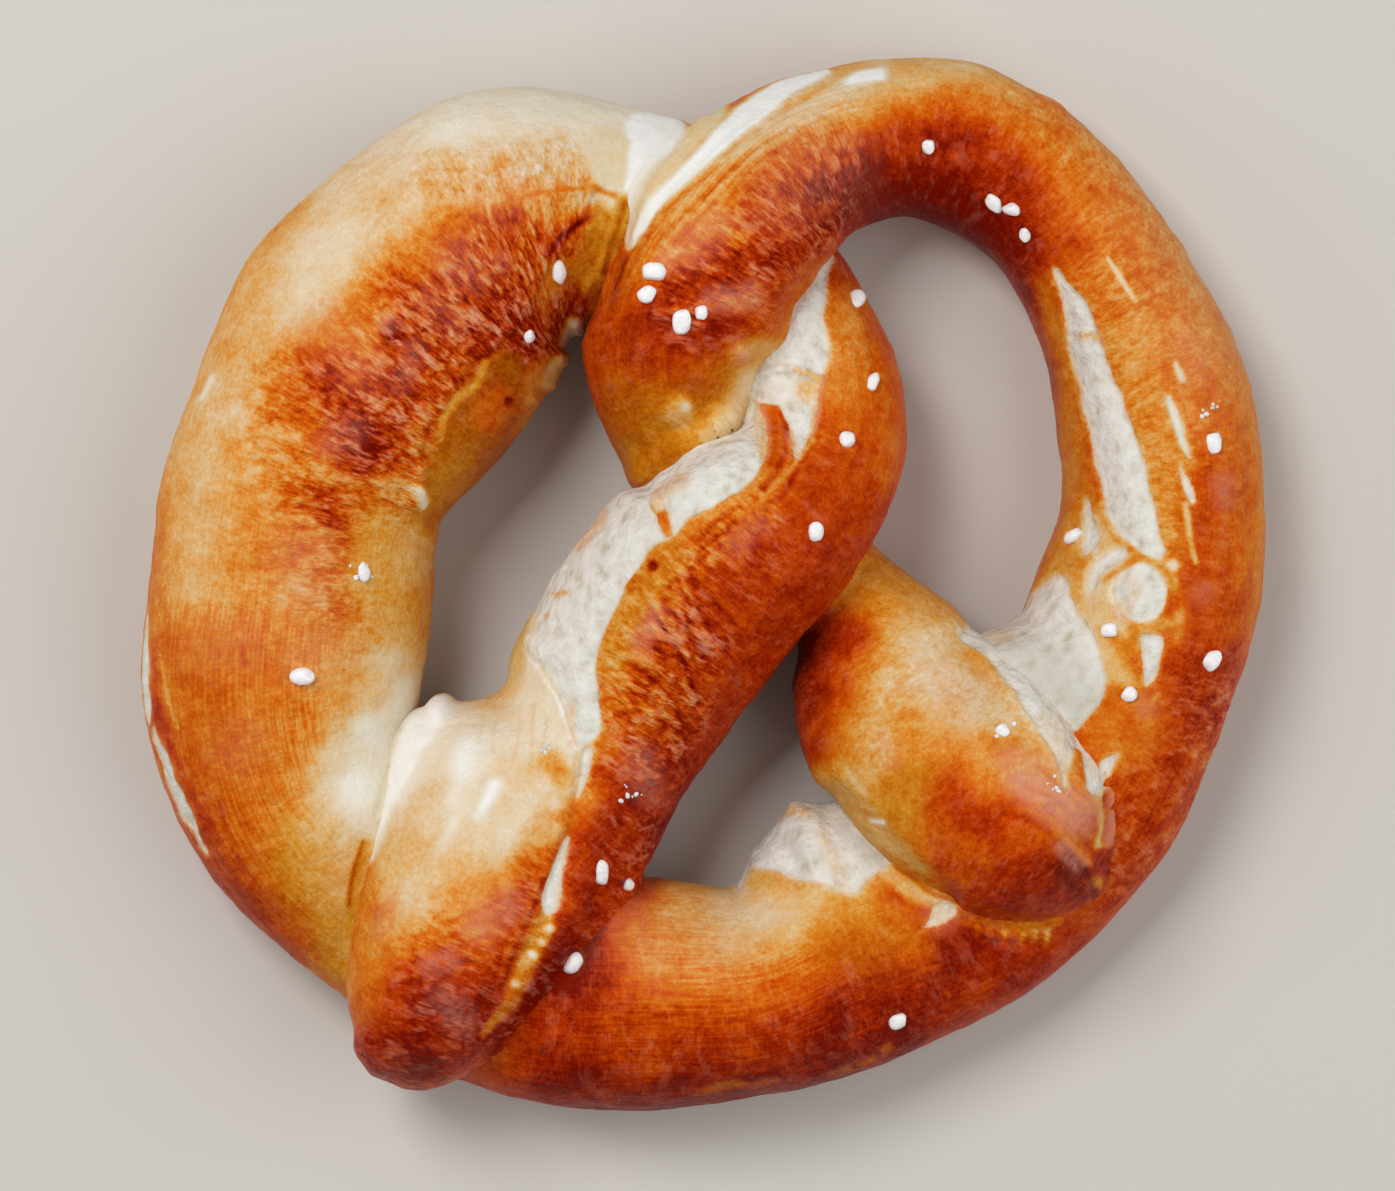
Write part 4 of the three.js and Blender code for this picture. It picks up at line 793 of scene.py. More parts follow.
# %% Tan smears on the crumb, and a painted salmon sheen on the crust
SMEARS_AND_SHEEN = {  # course, softness, strength
    "left_arm": [
        ([(797, 371, 2), (810, 375, 2.5), (822, 381, 2.5)], 0.4, 1.0), ([(808, 390, 9)], 1.4, 0.85),
        ([(818, 392, 3), (816, 415, 3), (812, 432, 2)], 0.5, 0.8),
        ([(760, 408, 3), (765, 430, 3), (763, 456, 3)], 0.7, 0.7),
        ([(756, 418, 1.5), (758, 450, 1.5)], 0.4, 0.6), ([(740, 398, 6), (724, 414, 5)], 1.0, 0.5),
        ([(662, 488, 8), (678, 480, 8)], 1.5, 0.5), ([(790, 434, 3), (796, 452, 3)], 0.6, 0.6),
        ([(604, 512, 4), (597, 527, 3), (580, 548, 3)], 0.6, 0.6),
        ([(556, 595, 1.5), (566, 592, 1.5)], 0.4, 1.0), ([(546, 616, 2)], 0.5, 0.8),
        ([(571, 700, 3), (568, 722, 3), (572, 742, 3)], 0.8, 0.4),
        # a painted salmon sheen on the crust, standing in for its gloss
        ([(735, 545, 6), (758, 524, 5)], 2, 0.25), ([(650, 790, 6), (640, 760, 6)], 3, 0.4),
        ([(704, 645, 3)], 1, 0.7), ([(655, 615, 4), (640, 640, 4)], 2, 0.5),
        ([(505, 905, 8), (480, 925, 8)], 3, 0.5), ([(450, 960, 5), (430, 965, 5)], 2, 0.4),
        ([(445, 1000, 5), (460, 1020, 6)], 3, 0.35), ([(395, 900, 6), (380, 930, 4)], 2, 0.3),
    ],
    "outer_loop": [
        ([(1080, 336, 2), (1090, 335, 2), (1101, 341, 2)], 0.4, 1.0), ([(1122, 612, 8)], 1.2, 0.4),
        ([(1126, 578, 3), (1138, 590, 3), (1130, 606, 3)], 0.6, 0.35),
        ([(824, 838, 2), (834, 862, 3), (844, 884, 3)], 1.2, 0.4),
        ([(785, 826, 3), (800, 822, 4), (812, 822, 3)], 0.6, 0.8), ([(942, 912, 8)], 3, 0.45),
        ([(1165, 200, 20), (1195, 290, 24), (1222, 370, 14)], 12, 0.16),
        ([(985, 636, 4), (1005, 636, 5)], 0.7, 0.3),
        ([(1004, 662, 3), (1030, 688, 3), (1052, 708, 3)], 0.8, 0.2),
        # a painted salmon sheen on the crust, standing in for its gloss
        ([(800, 150, 20), (830, 170, 24), (790, 190, 20)], 6, 0.22),
        ([(690, 245, 12), (715, 225, 8)], 3, 0.35), ([(715, 300, 6), (750, 296, 7)], 2, 0.5),
        ([(668, 260, 5)], 2, 0.5), ([(740, 352, 4)], 1.5, 0.5),
        ([(598, 908, 10), (630, 918, 12), (655, 945, 10)], 8, 0.24),
        ([(700, 930, 10), (720, 950, 10)], 6, 0.2), ([(1232, 300, 8), (1240, 340, 6)], 4, 0.5),
        ([(1190, 340, 12), (1200, 370, 10)], 4, 0.3), ([(1222, 480, 4), (1226, 500, 4)], 2, 0.4),
        ([(1202, 594, 3)], 2.5, 0.3), ([(1146, 706, 6)], 2, 0.3),
    ],
    "left_loop": [
        # a painted salmon sheen on the crust, standing in for its gloss
        ([(347, 345, 6), (362, 372, 7)], 5, 0.2), ([(494, 200, 12), (520, 190, 10)], 5, 0.2),
        ([(455, 258, 10), (470, 272, 8)], 4, 0.25), ([(325, 308, 8), (300, 330, 6)], 3, 0.3),
        ([(430, 300, 6), (450, 318, 6)], 3, 0.2), ([(385, 322, 5)], 2, 0.3), ([(500, 262, 5)], 2, 0.3),
        ([(215, 640, 8), (250, 642, 10)], 7, 0.2), ([(300, 560, 10), (305, 590, 8)], 7, 0.3),
        ([(322, 640, 8), (300, 660, 6)], 6, 0.25), ([(350, 430, 6), (330, 446, 6)], 3, 0.25),
        ([(245, 740, 6), (238, 752, 5)], 6, 0.15), ([(415, 350, 5), (400, 384, 5)], 2, 0.25),
    ],
    "right_arm": [
        ([(1042, 722, 4), (1058, 745, 5), (1060, 768, 5)], 1.2, 0.3),
        ([(1060, 718, 3), (1084, 750, 3), (1100, 775, 3)], 0.8, 0.35),
        # a painted salmon sheen on the crust, standing in for its gloss, and painted highlights on the folds
        # at the end
        ([(1020, 780, 5), (1050, 798, 10), (1078, 815, 11)], 3, 1.0),
        ([(1064, 848, 3), (1078, 864, 3)], 1.5, 0.8),
        ([(1108, 772, 2), (1114, 808, 3), (1108, 842, 2)], 0.8, 0.9),
        ([(1010, 760, 6), (1040, 770, 5)], 3, 0.5), ([(930, 680, 14), (960, 700, 16)], 6, 0.2),
        ([(880, 740, 3), (890, 762, 3)], 2, 0.3),
    ],
}
PAINTED_CREASE_SHADE = {  # painted shade: crumb greyed in the creases, where shade falls
    "outer_loop": [
        ([(1005, 640, 10), (1040, 670, 18), (1075, 700, 14)], 6, 0.7),
        ([(985, 640, 8), (1000, 668, 6)], 4, 0.4), ([(1055, 705, 6), (1078, 728, 6)], 3, 0.5),
        ([(826, 812, 3), (850, 835, 3), (880, 862, 3)], 2, 0.8),
        ([(760, 868, 4), (770, 842, 3), (790, 820, 3)], 2, 0.5), ([(800, 846, 2), (806, 872, 2)], 1.5, 0.5),
    ],
}


def cover(away, soft, inside=0.3):
    """How much a band does at a signed distance from its edge: all of it deep inside, nothing past its
    soft edge, and an S-shaped curve between. The share inside of the soft edge's width lies within the
    band."""
    return 1 - smooth(away, -inside * soft, soft)


def smears(table, name, at):
    """The strongest smear at each point: the most, over the bands, of a smear's strength times its cover."""
    most = np.zeros(at.shape[:-1])
    for course, soft, strength in table.get(name, []):
        most = np.maximum(most, strength * cover(band(at, course), soft))
    return most


print("smears:", {name: len(bands) for name, bands in SMEARS_AND_SHEEN.items()})


# %% [markdown]
# ## Levels at every point
#
# The strokes are laid over each other in turn, as a painter would, and then everything that follows from
# the result is worked out: the painted shade of folds darkens only what is already brown, browned skin is
# never quite smooth, and the underside is dull, since it lay on the tray. The numbers stay on the mesh as
# attributes, which costs nothing and lets the material ask for them.

# %% Bake, gold, crinkle and grain
WANDER_SIZE = 9  # mm, the size of the waves in the strokes' edges
EDGE_WANDER = 0.35  # how far these edges wander, as a share of their softness
BAKE_PATCH_INSIDE = 0.6  # the share of such a patch's soft edge that lies within it
WHITEST = 0.08  # strokes below this bake are the stretched white skin
TOP_SIDE = (-0.1, 0.14)  # how far up the skin faces where that white skin ends, and where it is whole
LEAST_CRINKLE = 0.16  # browned skin is never quite smooth
CRINKLE_FROM = (0.3, 0.55)  # the bake levels between which that begins
FOLD_SHADE_BAKE, SWELL_HIGHLIGHT_BAKE = 0.16, 0.08  # painted shade and light: what a fold adds to bake in its valley, and takes away on its swell
FOLD_SHADING_FROM = (0.1, 0.5)  # the bake levels between which that begins
UNDERSIDE = (0.57, 0.55, 0.0, 0.0)  # the levels of the dull underside
UNDERSIDE_SHARE = 0.8  # how far the skin there goes towards them
UNDERSIDE_HEIGHTS = (1.0, 8.5)  # mm above the table over which they fade out
UNDERSIDE_WANDER = 1.6  # mm


def levels(name, at, points, up):
    """Bake, gold, crinkle and grain of a strand: its base, then each stroke in turn with a soft and
    slightly wandering edge, and last the underside, by height above the table. up is how far the skin
    faces upwards: the whitest strokes are stretched skin on top of the rope, and fade out down its
    flanks."""
    wander = rough(points, WANDER_SIZE, 3, 11)
    on_top = smooth(up + 0.1 * wander, *TOP_SIDE)
    level = np.ones(points.shape[:-1] + (4,)) * np.array(BASE[name])
    for course, soft, *target in STROKES[name]:
        share = cover(band(at, course) + EDGE_WANDER * soft * wander, soft)
        if target[0] < WHITEST:
            share = share * on_top
        target = np.array(target + [0] * (4 - len(target)))
        level += (target - level) * share[..., None]
    bake, crinkle = level[..., 0], level[..., 2]
    for course, soft, more in BROWNING_AND_PAINTED_SHADING[name]:
        bake += more * cover(band(at, course) + EDGE_WANDER * soft * wander, soft, BAKE_PATCH_INSIDE)
    bake[:] = np.maximum(bake, 0)
    crinkle[:] = np.maximum(crinkle, LEAST_CRINKLE * smooth(bake, *CRINKLE_FROM))
    valley, swell = folds(name, at)
    # painted shade in the folds' valleys and painted light on their swells
    bake += (FOLD_SHADE_BAKE * valley - SWELL_HIGHLIGHT_BAKE * swell) * smooth(bake, *FOLD_SHADING_FROM)
    under = 1 - smooth(points[..., 2] + UNDERSIDE_WANDER * wander, *UNDERSIDE_HEIGHTS)
    level += (np.array(UNDERSIDE) - level) * under[..., None] * UNDERSIDE_SHARE
    return level


print("the underside's levels:", UNDERSIDE)


# %% [markdown]
# ## Where strands meet
#
# Two strands that touched while they swelled are baked together, so the crease between them isn't sharp.
# Each strand stays a surface of its own, and near another one it is raised to meet it: by the square of the
# distance that is left to go, which is how a smooth union of two shapes behaves. The size of that fillet
# changes from place to place, from a tight crease to a web of stretched dough.

# %% Distance to the other strands
BACKBONE_STEP = 2.5  # mm
BACKBONE = rings(np.arange(0, LENGTH, BACKBONE_STEP))
OWN_STRETCH = 48.0  # a point ignores the rope this close to it along the rope
LEAST_SHARE = 0.3  # a tip's last rings count as at least this share of full size
BATCH = 8000  # points worked out at a time, to spare memory


def gap_to_others(points, s):
    """About how far each point is from the skin of the rest of the rope, negative inside it: the least,
    over the rings of the backbone, of the distance to a slice of rope with the ring's two half ellipses."""
    middle, left, half, top, foot, share = BACKBONE
    at = np.arange(len(middle)) * BACKBONE_STEP
    belly = foot + BELLY * (top - foot)
    size = np.maximum(share, LEAST_SHARE)
    gaps = np.empty(len(points))
    for start in range(0, len(points), BATCH):
        part = slice(start, start + BATCH)
        off = points[part, None, :2] - middle[None]
        side = np.einsum("ijk,jk->ij", off, left)
        ahead = off[..., 0] * left[:, 1] - off[..., 1] * left[:, 0]
        up = points[part, 2:3] - belly
        tall = np.where(up > 0, top - belly, belly - foot) * size
        ratio = np.hypot(side / (half * size), up / tall) + 1e-6
        gap = np.hypot(side, up) * (1 - 1 / ratio)
        past = np.maximum(np.abs(ahead) - BACKBONE_STEP / 2, 0)
        gap = np.where(past > 0, np.hypot(np.maximum(gap, 0), past), gap)
        gap[np.abs(at[None] - s[part, None]) < OWN_STRETCH] = ENDLESS
        gaps[part] = gap.min(axis=1)
    return gaps


print("backbone of %d rings" % len(BACKBONE[0]))

# %% Fillets and webs
FILLET = 1.6  # mm, where nothing else is said
WEB_EDGE = 7  # mm over which a web's own size fades out
WEBS = [  # places where the dough stretched between strands: a band, and the fillet's size there
    ([(425, 720, 8), (408, 752, 6)], 4.0), ([(395, 780, 8), (372, 830, 8), (352, 900, 8)], 1.0),
    ([(820, 800, 8), (860, 850, 10)], 2.0), ([(990, 650, 8), (1040, 690, 16), (1090, 760, 8)], 6.5),
    ([(985, 636, 10), (1008, 640, 12)], 9.0), ([(655, 130, 14), (648, 180, 10), (638, 208, 3)], 8.0),
    ([(745, 400, 6), (700, 450, 6)], 3.0),
]


def fillet(at, gap):
    """How far the skin is raised near another strand: the square of what is left of the fillet's size
    after the gap, over four times that size."""
    size = np.full(gap.shape, FILLET)
    for course, web in WEBS:
        size += (web - FILLET) * (1 - smooth(band(at, course), 0, WEB_EDGE))
    return np.clip(size - np.maximum(gap, 0), 0, None) ** 2 / (4 * size)


print("a fillet is %.1f mm high where two skins touch" % fillet(PLAN_MIDDLE[None], np.zeros(1))[0])

# %% [markdown]
# ## Relief
#
# The surface itself carries what casts a shadow: broad unevenness, the larger wrinkles, the drop from the
# crust into a tear and the crumb that swells in it, blisters, pits, and the ledges where one skin of crust
# lies over another. Finer wrinkles and pores are left to the material's bump, which costs no faces.

# %% Blisters, pits and ledges, one by one
RELIEF = {  # course, softness of its edge, and rise; a negative rise is a dent
    "left_loop": [
        ([(606, 196, 10), (592, 238, 18), (566, 280, 18), (540, 335, 20), (505, 400, 46), (470, 450, 44),
          (452, 500, 30)], 0.7, -0.45),
        ([(512, 404, 2)], 0.8, -0.8), ([(420, 470, 3), (414, 500, 6)], 1.2, 0.7),
        ([(418, 490, 3), (422, 503, 3)], 0.8, 0.6), ([(448, 698, 6), (436, 714, 6)], 1.2, 1.2),
        ([(562, 196, 1), (600, 187, 1), (620, 190, 1)], 0.5, 0.25), ([(577, 328, 5)], 0.8, 1.0),
        ([(564, 360, 5)], 0.8, 0.7), ([(549, 386, 4)], 0.8, 0.6), ([(536, 402, 3)], 0.7, 0.5),
        ([(524, 414, 2)], 0.7, 0.4),
    ],
    "left_arm": [
        ([(490, 793, 3), (480, 812, 1)], 2.0, 0.3), ([(652, 566, 1)], 0.7, -0.8),
        ([(757, 374, 2), (778, 370, 3), (800, 371, 3), (822, 380, 2)], 0.6, 0.55),
        ([(757, 412, 2), (760, 440, 2), (757, 462, 2)], 0.5, 0.35),
        ([(533, 640, 4), (538, 655, 5)], 0.8, 0.5),
        ([(583, 752, 2), (578, 800, 3), (572, 830, 2)], 1.2, -0.7),
        ([(566, 838, 2), (545, 915, 3), (528, 950, 3), (505, 990, 2)], 1.2, -0.8),
        ([(590, 835, 4), (584, 880, 6), (566, 930, 5)], 1.5, 0.6),
        ([(447, 700, 5), (436, 714, 5)], 1.2, 1.3), ([(364, 1052, 8), (372, 1066, 6)], 3.0, 1.3),
        ([(640, 474, 9), (692, 446, 11), (736, 414, 8)], 3.0, -1.6),
    ],
    "outer_loop": [
        ([(608, 222, 12), (598, 258, 14), (588, 298, 12)], 5.0, -1.9), ([(679, 409, 9)], 2.2, 0.8),
        ([(830, 276, 9), (804, 304, 9)], 4.0, -2.1),
        ([(650, 470, 8), (688, 448, 9), (722, 420, 6)], 3.0, 1.9), ([(740, 352, 4)], 1.2, 0.7),
        ([(990, 200, 2)], 0.6, -0.6), ([(1140, 594, 16)], 2.4, 0.3),
        ([(1100, 600, 8), (1112, 620, 6)], 1.0, 0.3),
        ([(628, 234, 2), (657, 182, 3), (680, 145, 3), (704, 117, 3)], 0.7, 0.4),
        ([(640, 230, 1), (675, 183, 1), (712, 145, 1), (760, 107, 1)], 0.6, -0.3),
        ([(955, 922, 2), (980, 942, 2), (1045, 946, 2)], 0.7, -0.4),
        ([(818, 826, 3), (828, 852, 3), (842, 884, 2)], 0.9, 0.6),
        ([(760, 872, 8), (780, 846, 10), (800, 824, 8)], 4.0, 2.2), ([(757, 852, 4)], 1.0, 0.9),
        ([(773, 826, 4)], 0.9, 0.8), ([(804, 815, 3)], 0.8, 0.6),
        ([(788, 846, 3), (796, 866, 3)], 1.0, -0.5), ([(808, 838, 2), (812, 868, 2)], 0.7, 0.5),
        ([(768, 860, 2), (764, 874, 2)], 0.7, 0.4), ([(834, 868, 4)], 1.0, -0.4),
        ([(1060, 96, 10)], 2.0, 0.5), ([(1110, 128, 8)], 2.0, -0.3), ([(1190, 240, 10)], 2.0, 0.4),
        ([(1236, 330, 8)], 1.5, 0.3), ([(1226, 786, 4)], 0.9, 0.8), ([(1216, 712, 5)], 1.5, -0.4),
        ([(1246, 430, 1), (1251, 480, 1), (1252, 540, 1)], 0.8, -0.25),
    ],
    "right_arm": [
        ([(1103, 765, 1), (1113, 805, 2), (1110, 832, 2), (1103, 846, 1)], 0.5, 0.35),
        ([(1045, 800, 3), (1070, 797, 5), (1095, 805, 4)], 1.0, 0.4),
        ([(1060, 832, 2), (1074, 848, 3), (1087, 864, 3)], 0.7, 0.55),
        ([(1076, 755, 2), (1080, 780, 3)], 0.7, 0.3),
        ([(968, 646, 1), (999, 684, 1), (1022, 712, 1), (1056, 764, 1)], 0.5, 0.2),
        ([(832, 806, 10), (862, 840, 11), (896, 872, 11), (940, 900, 8)], 3.0, -1.3),
        ([(988, 652, 3), (1014, 686, 5), (1042, 722, 5), (1066, 756, 3)], 2.5, 1.1),
    ],
}


def relief(name, at):
    """The rise of each lump or dent, full inside its band and gone at the end of its soft edge."""
    total = np.zeros(at.shape[:-1])
    for course, soft, rise in RELIEF[name]:
        total += rise * cover(band(at, course), soft)
    return total


print("lumps and dents:", {name: len(bands) for name, bands in RELIEF.items()})


# %% The profile of a tear, and puckers
CRUST_DROP = 0.34  # mm from the crust's edge down to the crumb
CRUMB_SWELL = 0.4  # mm that the crumb swells again in the middle of a wide tear
PUCKER_SIZE = (1.1, 2.5, 1)  # mm along the rope and round it
RIPPLE_SIZE = (0.8, 2.4, 1)
PUCKER_WANDER = (0.7, 0.8)  # mm that their places wander along the rope and round it


def torn(tear):
    """The profile across a tear: a short drop from the crust's edge to the crumb, and crumb that swells
    again towards the middle."""
    drop = -CRUST_DROP * (1 - smooth(tear, -0.35, 0.2))
    return drop + CRUMB_SWELL * smooth(-tear, 0.3, 3.0)


def puckers(points, laid):
    """Skin that shrank and puckered: noise folded at zero, so round lumps stand between narrow creases,
    with short ripples over it. Both are longer round the rope than along it, and wander. About 0.5 in the
    middle."""
    along, around = (height * rough(points, 5, 2, seed) for height, seed in zip(PUCKER_WANDER, (61, 67)))
    place = laid + np.stack([along, around, np.zeros_like(along)], axis=-1)
    fold = np.abs(rough(place, PUCKER_SIZE, 2, 43))
    ripple = rough(place, RIPPLE_SIZE, 2, 83)
    return np.clip(0.5 + 0.6 * (fold / (fold + 0.45) - 0.42) + 0.26 * ripple, 0, 1)


print("the step at a tear: %.2f mm" % (torn(np.array([1.0])) - torn(np.array([-0.35])))[0])

# %% How far the skin stands off the bare rope
RISE = {  # mm
    "lumps": 0.38, "puckers": 0.44, "pebbles on puckers": 0.06, "lines": 0.07, "swells": 0.14,
    "folds": 0.26, "dimples": 0.09, "pebbles": 0.02, "crumb dimples": 0.15, "crumb pebbles": 0.05,
}


def stand_off(name, points, at, laid, level, tear, pucker):
    """Lumps, puckers, lines along the rope, folds, the tears' profile, their rough crumb and the relief."""
    crumb = 1 - smooth(tear, -0.3, 0.1)
    skin_left = 1 - crumb
    lumps = RISE["lumps"] * rough(points, 15, 3, 21)
    lines = rough(laid + rough(points, 6, 2, 61)[..., None], (12, 1.3, 1), 2, 51)
    pebbles = rough(points, 1.5, 2, 75)
    dimples = rough(points, 2.6, 2, 71)
    valley, swell = folds(name, at)
    crinkled = level[..., 2] * (RISE["puckers"] * (pucker - 0.5) + RISE["pebbles on puckers"] * pebbles)
    drawn = level[..., 3] * RISE["lines"] * lines + RISE["swells"] * swell - RISE["folds"] * valley
    crust_grain = RISE["dimples"] * dimples + RISE["pebbles"] * pebbles
    crumb_grain = RISE["crumb dimples"] * dimples + RISE["crumb pebbles"] * pebbles
    return (lumps + relief(name, at) + torn(tear) + skin_left * (crinkled + drawn + crust_grain)
            + crumb * crumb_grain)


print("relief, mm:", RISE)


# %% [markdown]
# ## The dough
#
# The rope is made in four lengths, cut where another strand hides the cut, so that each can be fine enough
# for its relief: a point about every half millimetre. A length is a grid of distances along the rope and
# angles round it, closer on top than below, where nobody looks.

# %% A mesh from arrays
def put_mesh(name, points, faces, laid=None, marks=None):
    """A mesh object from points in mm and faces, each a row of point numbers, -1 filling a triangle's
    row. laid is a place on the flattened skin for each corner of each face, in cm."""
    corners = faces >= 0
    sizes = corners.sum(axis=1)
    mesh = bpy.data.meshes.new(name)
    mesh.vertices.add(len(points))
    mesh.vertices.foreach_set("co", (points * MM).astype(np.float32).ravel())
    mesh.loops.add(int(sizes.sum()))
    mesh.loops.foreach_set("vertex_index", faces[corners].astype(np.int32))
    mesh.polygons.add(len(faces))
    mesh.polygons.foreach_set("loop_start", (np.cumsum(sizes) - sizes).astype(np.int32))
    mesh.polygons.foreach_set("use_smooth", np.ones(len(faces), bool))
    if laid is not None:
        flat = mesh.uv_layers.new(name="laid_flat")
        flat.data.foreach_set("uv", laid[corners].astype(np.float32).ravel())
    for mark, values in (marks or {}).items():
        kept = mesh.attributes.new(mark, "FLOAT", "POINT")
        kept.data.foreach_set("value", values.astype(np.float32).ravel())
    mesh.update(calc_edges=True)
    piece = bpy.data.objects.new(name, mesh)
    bpy.context.scene.collection.objects.link(piece)
    return piece


def net(rows, columns):
    """Four-sided faces of a net of points that closes on itself along its columns, and the column of each
    corner, which goes one past the last where the net closes."""
    i, j = np.meshgrid(np.arange(rows - 1), np.arange(columns), indexing="ij")
    row = np.stack([i, i, i + 1, i + 1], axis=-1).reshape(-1, 4)
    column = np.stack([j, j + 1, j + 1, j], axis=-1).reshape(-1, 4)
    return row * columns + column % columns, row, column


# %% Distances and angles of a length of rope
TOP_CROWDING = 0.45  # how much closer the points round a ring lie on top; 1 would pile them up there
TIP_ARC = 1.6  # a quarter circle is about this many times as long as its radius


def distances(first, last, step):
    """Distances between two stations, one step apart; where the length ends in a tip, they follow the
    quarter circle that the tip rounds off by, so its rings are a step apart on the skin too."""
    start, stop = distance_of(first), distance_of(last)
    parts = []
    if first == 0:
        turn = np.linspace(0, np.pi / 2, int(TIP_ROUND[0] * TIP_ARC / step))[1:-1]
        parts.append(TIP_ROUND[0] * (1 - np.cos(turn)))
        start = TIP_ROUND[0]
    tail = []
    if last == len(ROPE) - 1:
        turn = np.linspace(np.pi / 2, 0, int(TIP_ROUND[1] * TIP_ARC / step))[1:-1]
        tail.append(LENGTH - TIP_ROUND[1] * (1 - np.cos(turn)))
        stop = LENGTH - TIP_ROUND[1]
    parts.append(np.linspace(start, stop, max(int((stop - start) / step), 2)))
    return np.concatenate(parts + tail)


def angles(count):
    """Angles round the rope from straight down, over the left side and the top: even steps plus a cosine,
    which brings them closest together on top."""
    turn = np.arange(count) / count * 2 * np.pi - np.pi / 2
    return turn + TOP_CROWDING * np.cos(turn)


def lay_flat(points):
    """How far round the skin each point lies from the top, mm: the steps round its ring, added up, with
    one more column where the ring closes."""
    closed = np.concatenate([points, points[:, :1]], axis=1)
    step = np.linalg.norm(np.diff(closed, axis=1), axis=2)
    round_it = np.concatenate([np.zeros((len(points), 1)), np.cumsum(step, axis=1)], axis=1)
    return round_it - round_it[:, [points.shape[1] // 2]]


def facing(points):
    """Outward directions of a net: across one way times across the other."""
    ahead = np.gradient(points, axis=0)
    across = np.roll(points, -1, axis=1) - np.roll(points, 1, axis=1)
    way = np.cross(across, ahead)
    return way / (np.linalg.norm(way, axis=2, keepdims=True) + 1e-9)


# %% A length of rope with its skin
PRESSED = 2.5  # mm above the table over which relief dies out towards the pressed underside
LAID_UNIT = 10  # mm to a unit of the flattened skin


def length_of_rope(name, first, last, step, around):
    """The bare skin, then the fillets, then the fine relief, each pushed out along the skin's own
    direction; the pressed underside keeps flat. Both ends close on one point."""
    s, angle = distances(first, last, step), angles(around)
    bare = skin(s, angle)
    arc = lay_flat(bare)
    along = np.broadcast_to(s[:, None], bare.shape[:2])
    loose = smooth(bare[..., 2], 0.0, PRESSED)
    gap = gap_to_others(bare.reshape(-1, 3), along.ravel()).reshape(along.shape)
    filled = bare + facing(bare) * (fillet(plan(bare), gap) * loose)[..., None]
    at = plan(filled)
    level = levels(name, at, filled, facing(filled)[..., 2])
    tear = tear_distance(name, at, filled) + closed_below(name, filled)
    laid = np.stack([along, arc[:, :-1], np.zeros_like(along)], axis=-1)
    pucker = puckers(filled, laid)
    off = stand_off(name, filled, at, laid, level, tear, pucker)
    points = filled + facing(filled) * (off * loose)[..., None]
    points[..., 2] = np.maximum(points[..., 2], 0)
    rows, columns = along.shape
    faces, row, column = net(rows, columns)
    flat = np.stack([s[row], arc[row, column]], axis=-1) / LAID_UNIT
    ends = []
    for ring, turn, pole in ((0, 1, rows * columns), (rows - 1, -1, rows * columns + 1)):
        j = np.arange(columns)
        pair = [(j + 1) % columns, j][::turn]
        filler = np.full(columns, -1)
        ends.append(np.stack([ring * columns + pair[0], ring * columns + pair[1],
                              np.full(columns, pole), filler], axis=1))
        flat = np.concatenate([flat, np.full((columns, 4, 2), [s[ring] / LAID_UNIT, 0])])
    tips = []
    for ring, station in ((0, first), (-1, last)):
        tip = points[ring].mean(axis=0)
        if station in (0, len(ROPE) - 1):
            tip = skin(np.array([0.0 if station == 0 else LENGTH]), angle)[0, 0]
        tips.append(tip)
    marks = {"bake": level[..., 0], "gold": level[..., 1], "crinkle": level[..., 2],
             "grain": level[..., 3], "tear": tear, "smear_and_sheen": smears(SMEARS_AND_SHEEN, name, at),
             "dull": smears(PAINTED_CREASE_SHADE, name, at), "pucker": pucker}
    marks = {mark: np.concatenate([v.ravel(), [v[0].mean(), v[-1].mean()]]) for mark, v in marks.items()}
    points = np.concatenate([points.reshape(-1, 3), tips])
    piece = put_mesh("crust_" + name, points, np.concatenate([faces] + ends), flat, marks)
    print("%s: %d rings of %d, %d triangles" % (name, rows, columns, 2 * len(faces) + 2 * columns))
    return piece


# %% The four lengths
LENGTHS = {  # first and last station, mm between rings, points round a ring
    "left_arm": (0, 10.2, 0.31, 210),
    "left_loop": (10.2, 18.4, 0.30, 214),
    "outer_loop": (18.4, 37.5, 0.44, 154),
    "right_arm": (37.5, 43, 0.28, 250),
}
COARSE = 1.0
dough = {
    name: length_of_rope(name, first, last, step * COARSE, int(around / COARSE) // 2 * 2)
    for name, (first, last, step, around) in LENGTHS.items()
}

# %% [markdown]
# ## Salt
#
# Pretzel salt is coarse and doesn't melt in the oven. Each grain is a worn crystal: a box whose corners
# have rounded off and chipped, opaque white like packed snow. A ball swollen towards a box gives that
# shape, since the power that rounds it can be chosen. The grains sit about a third deep in the crust.

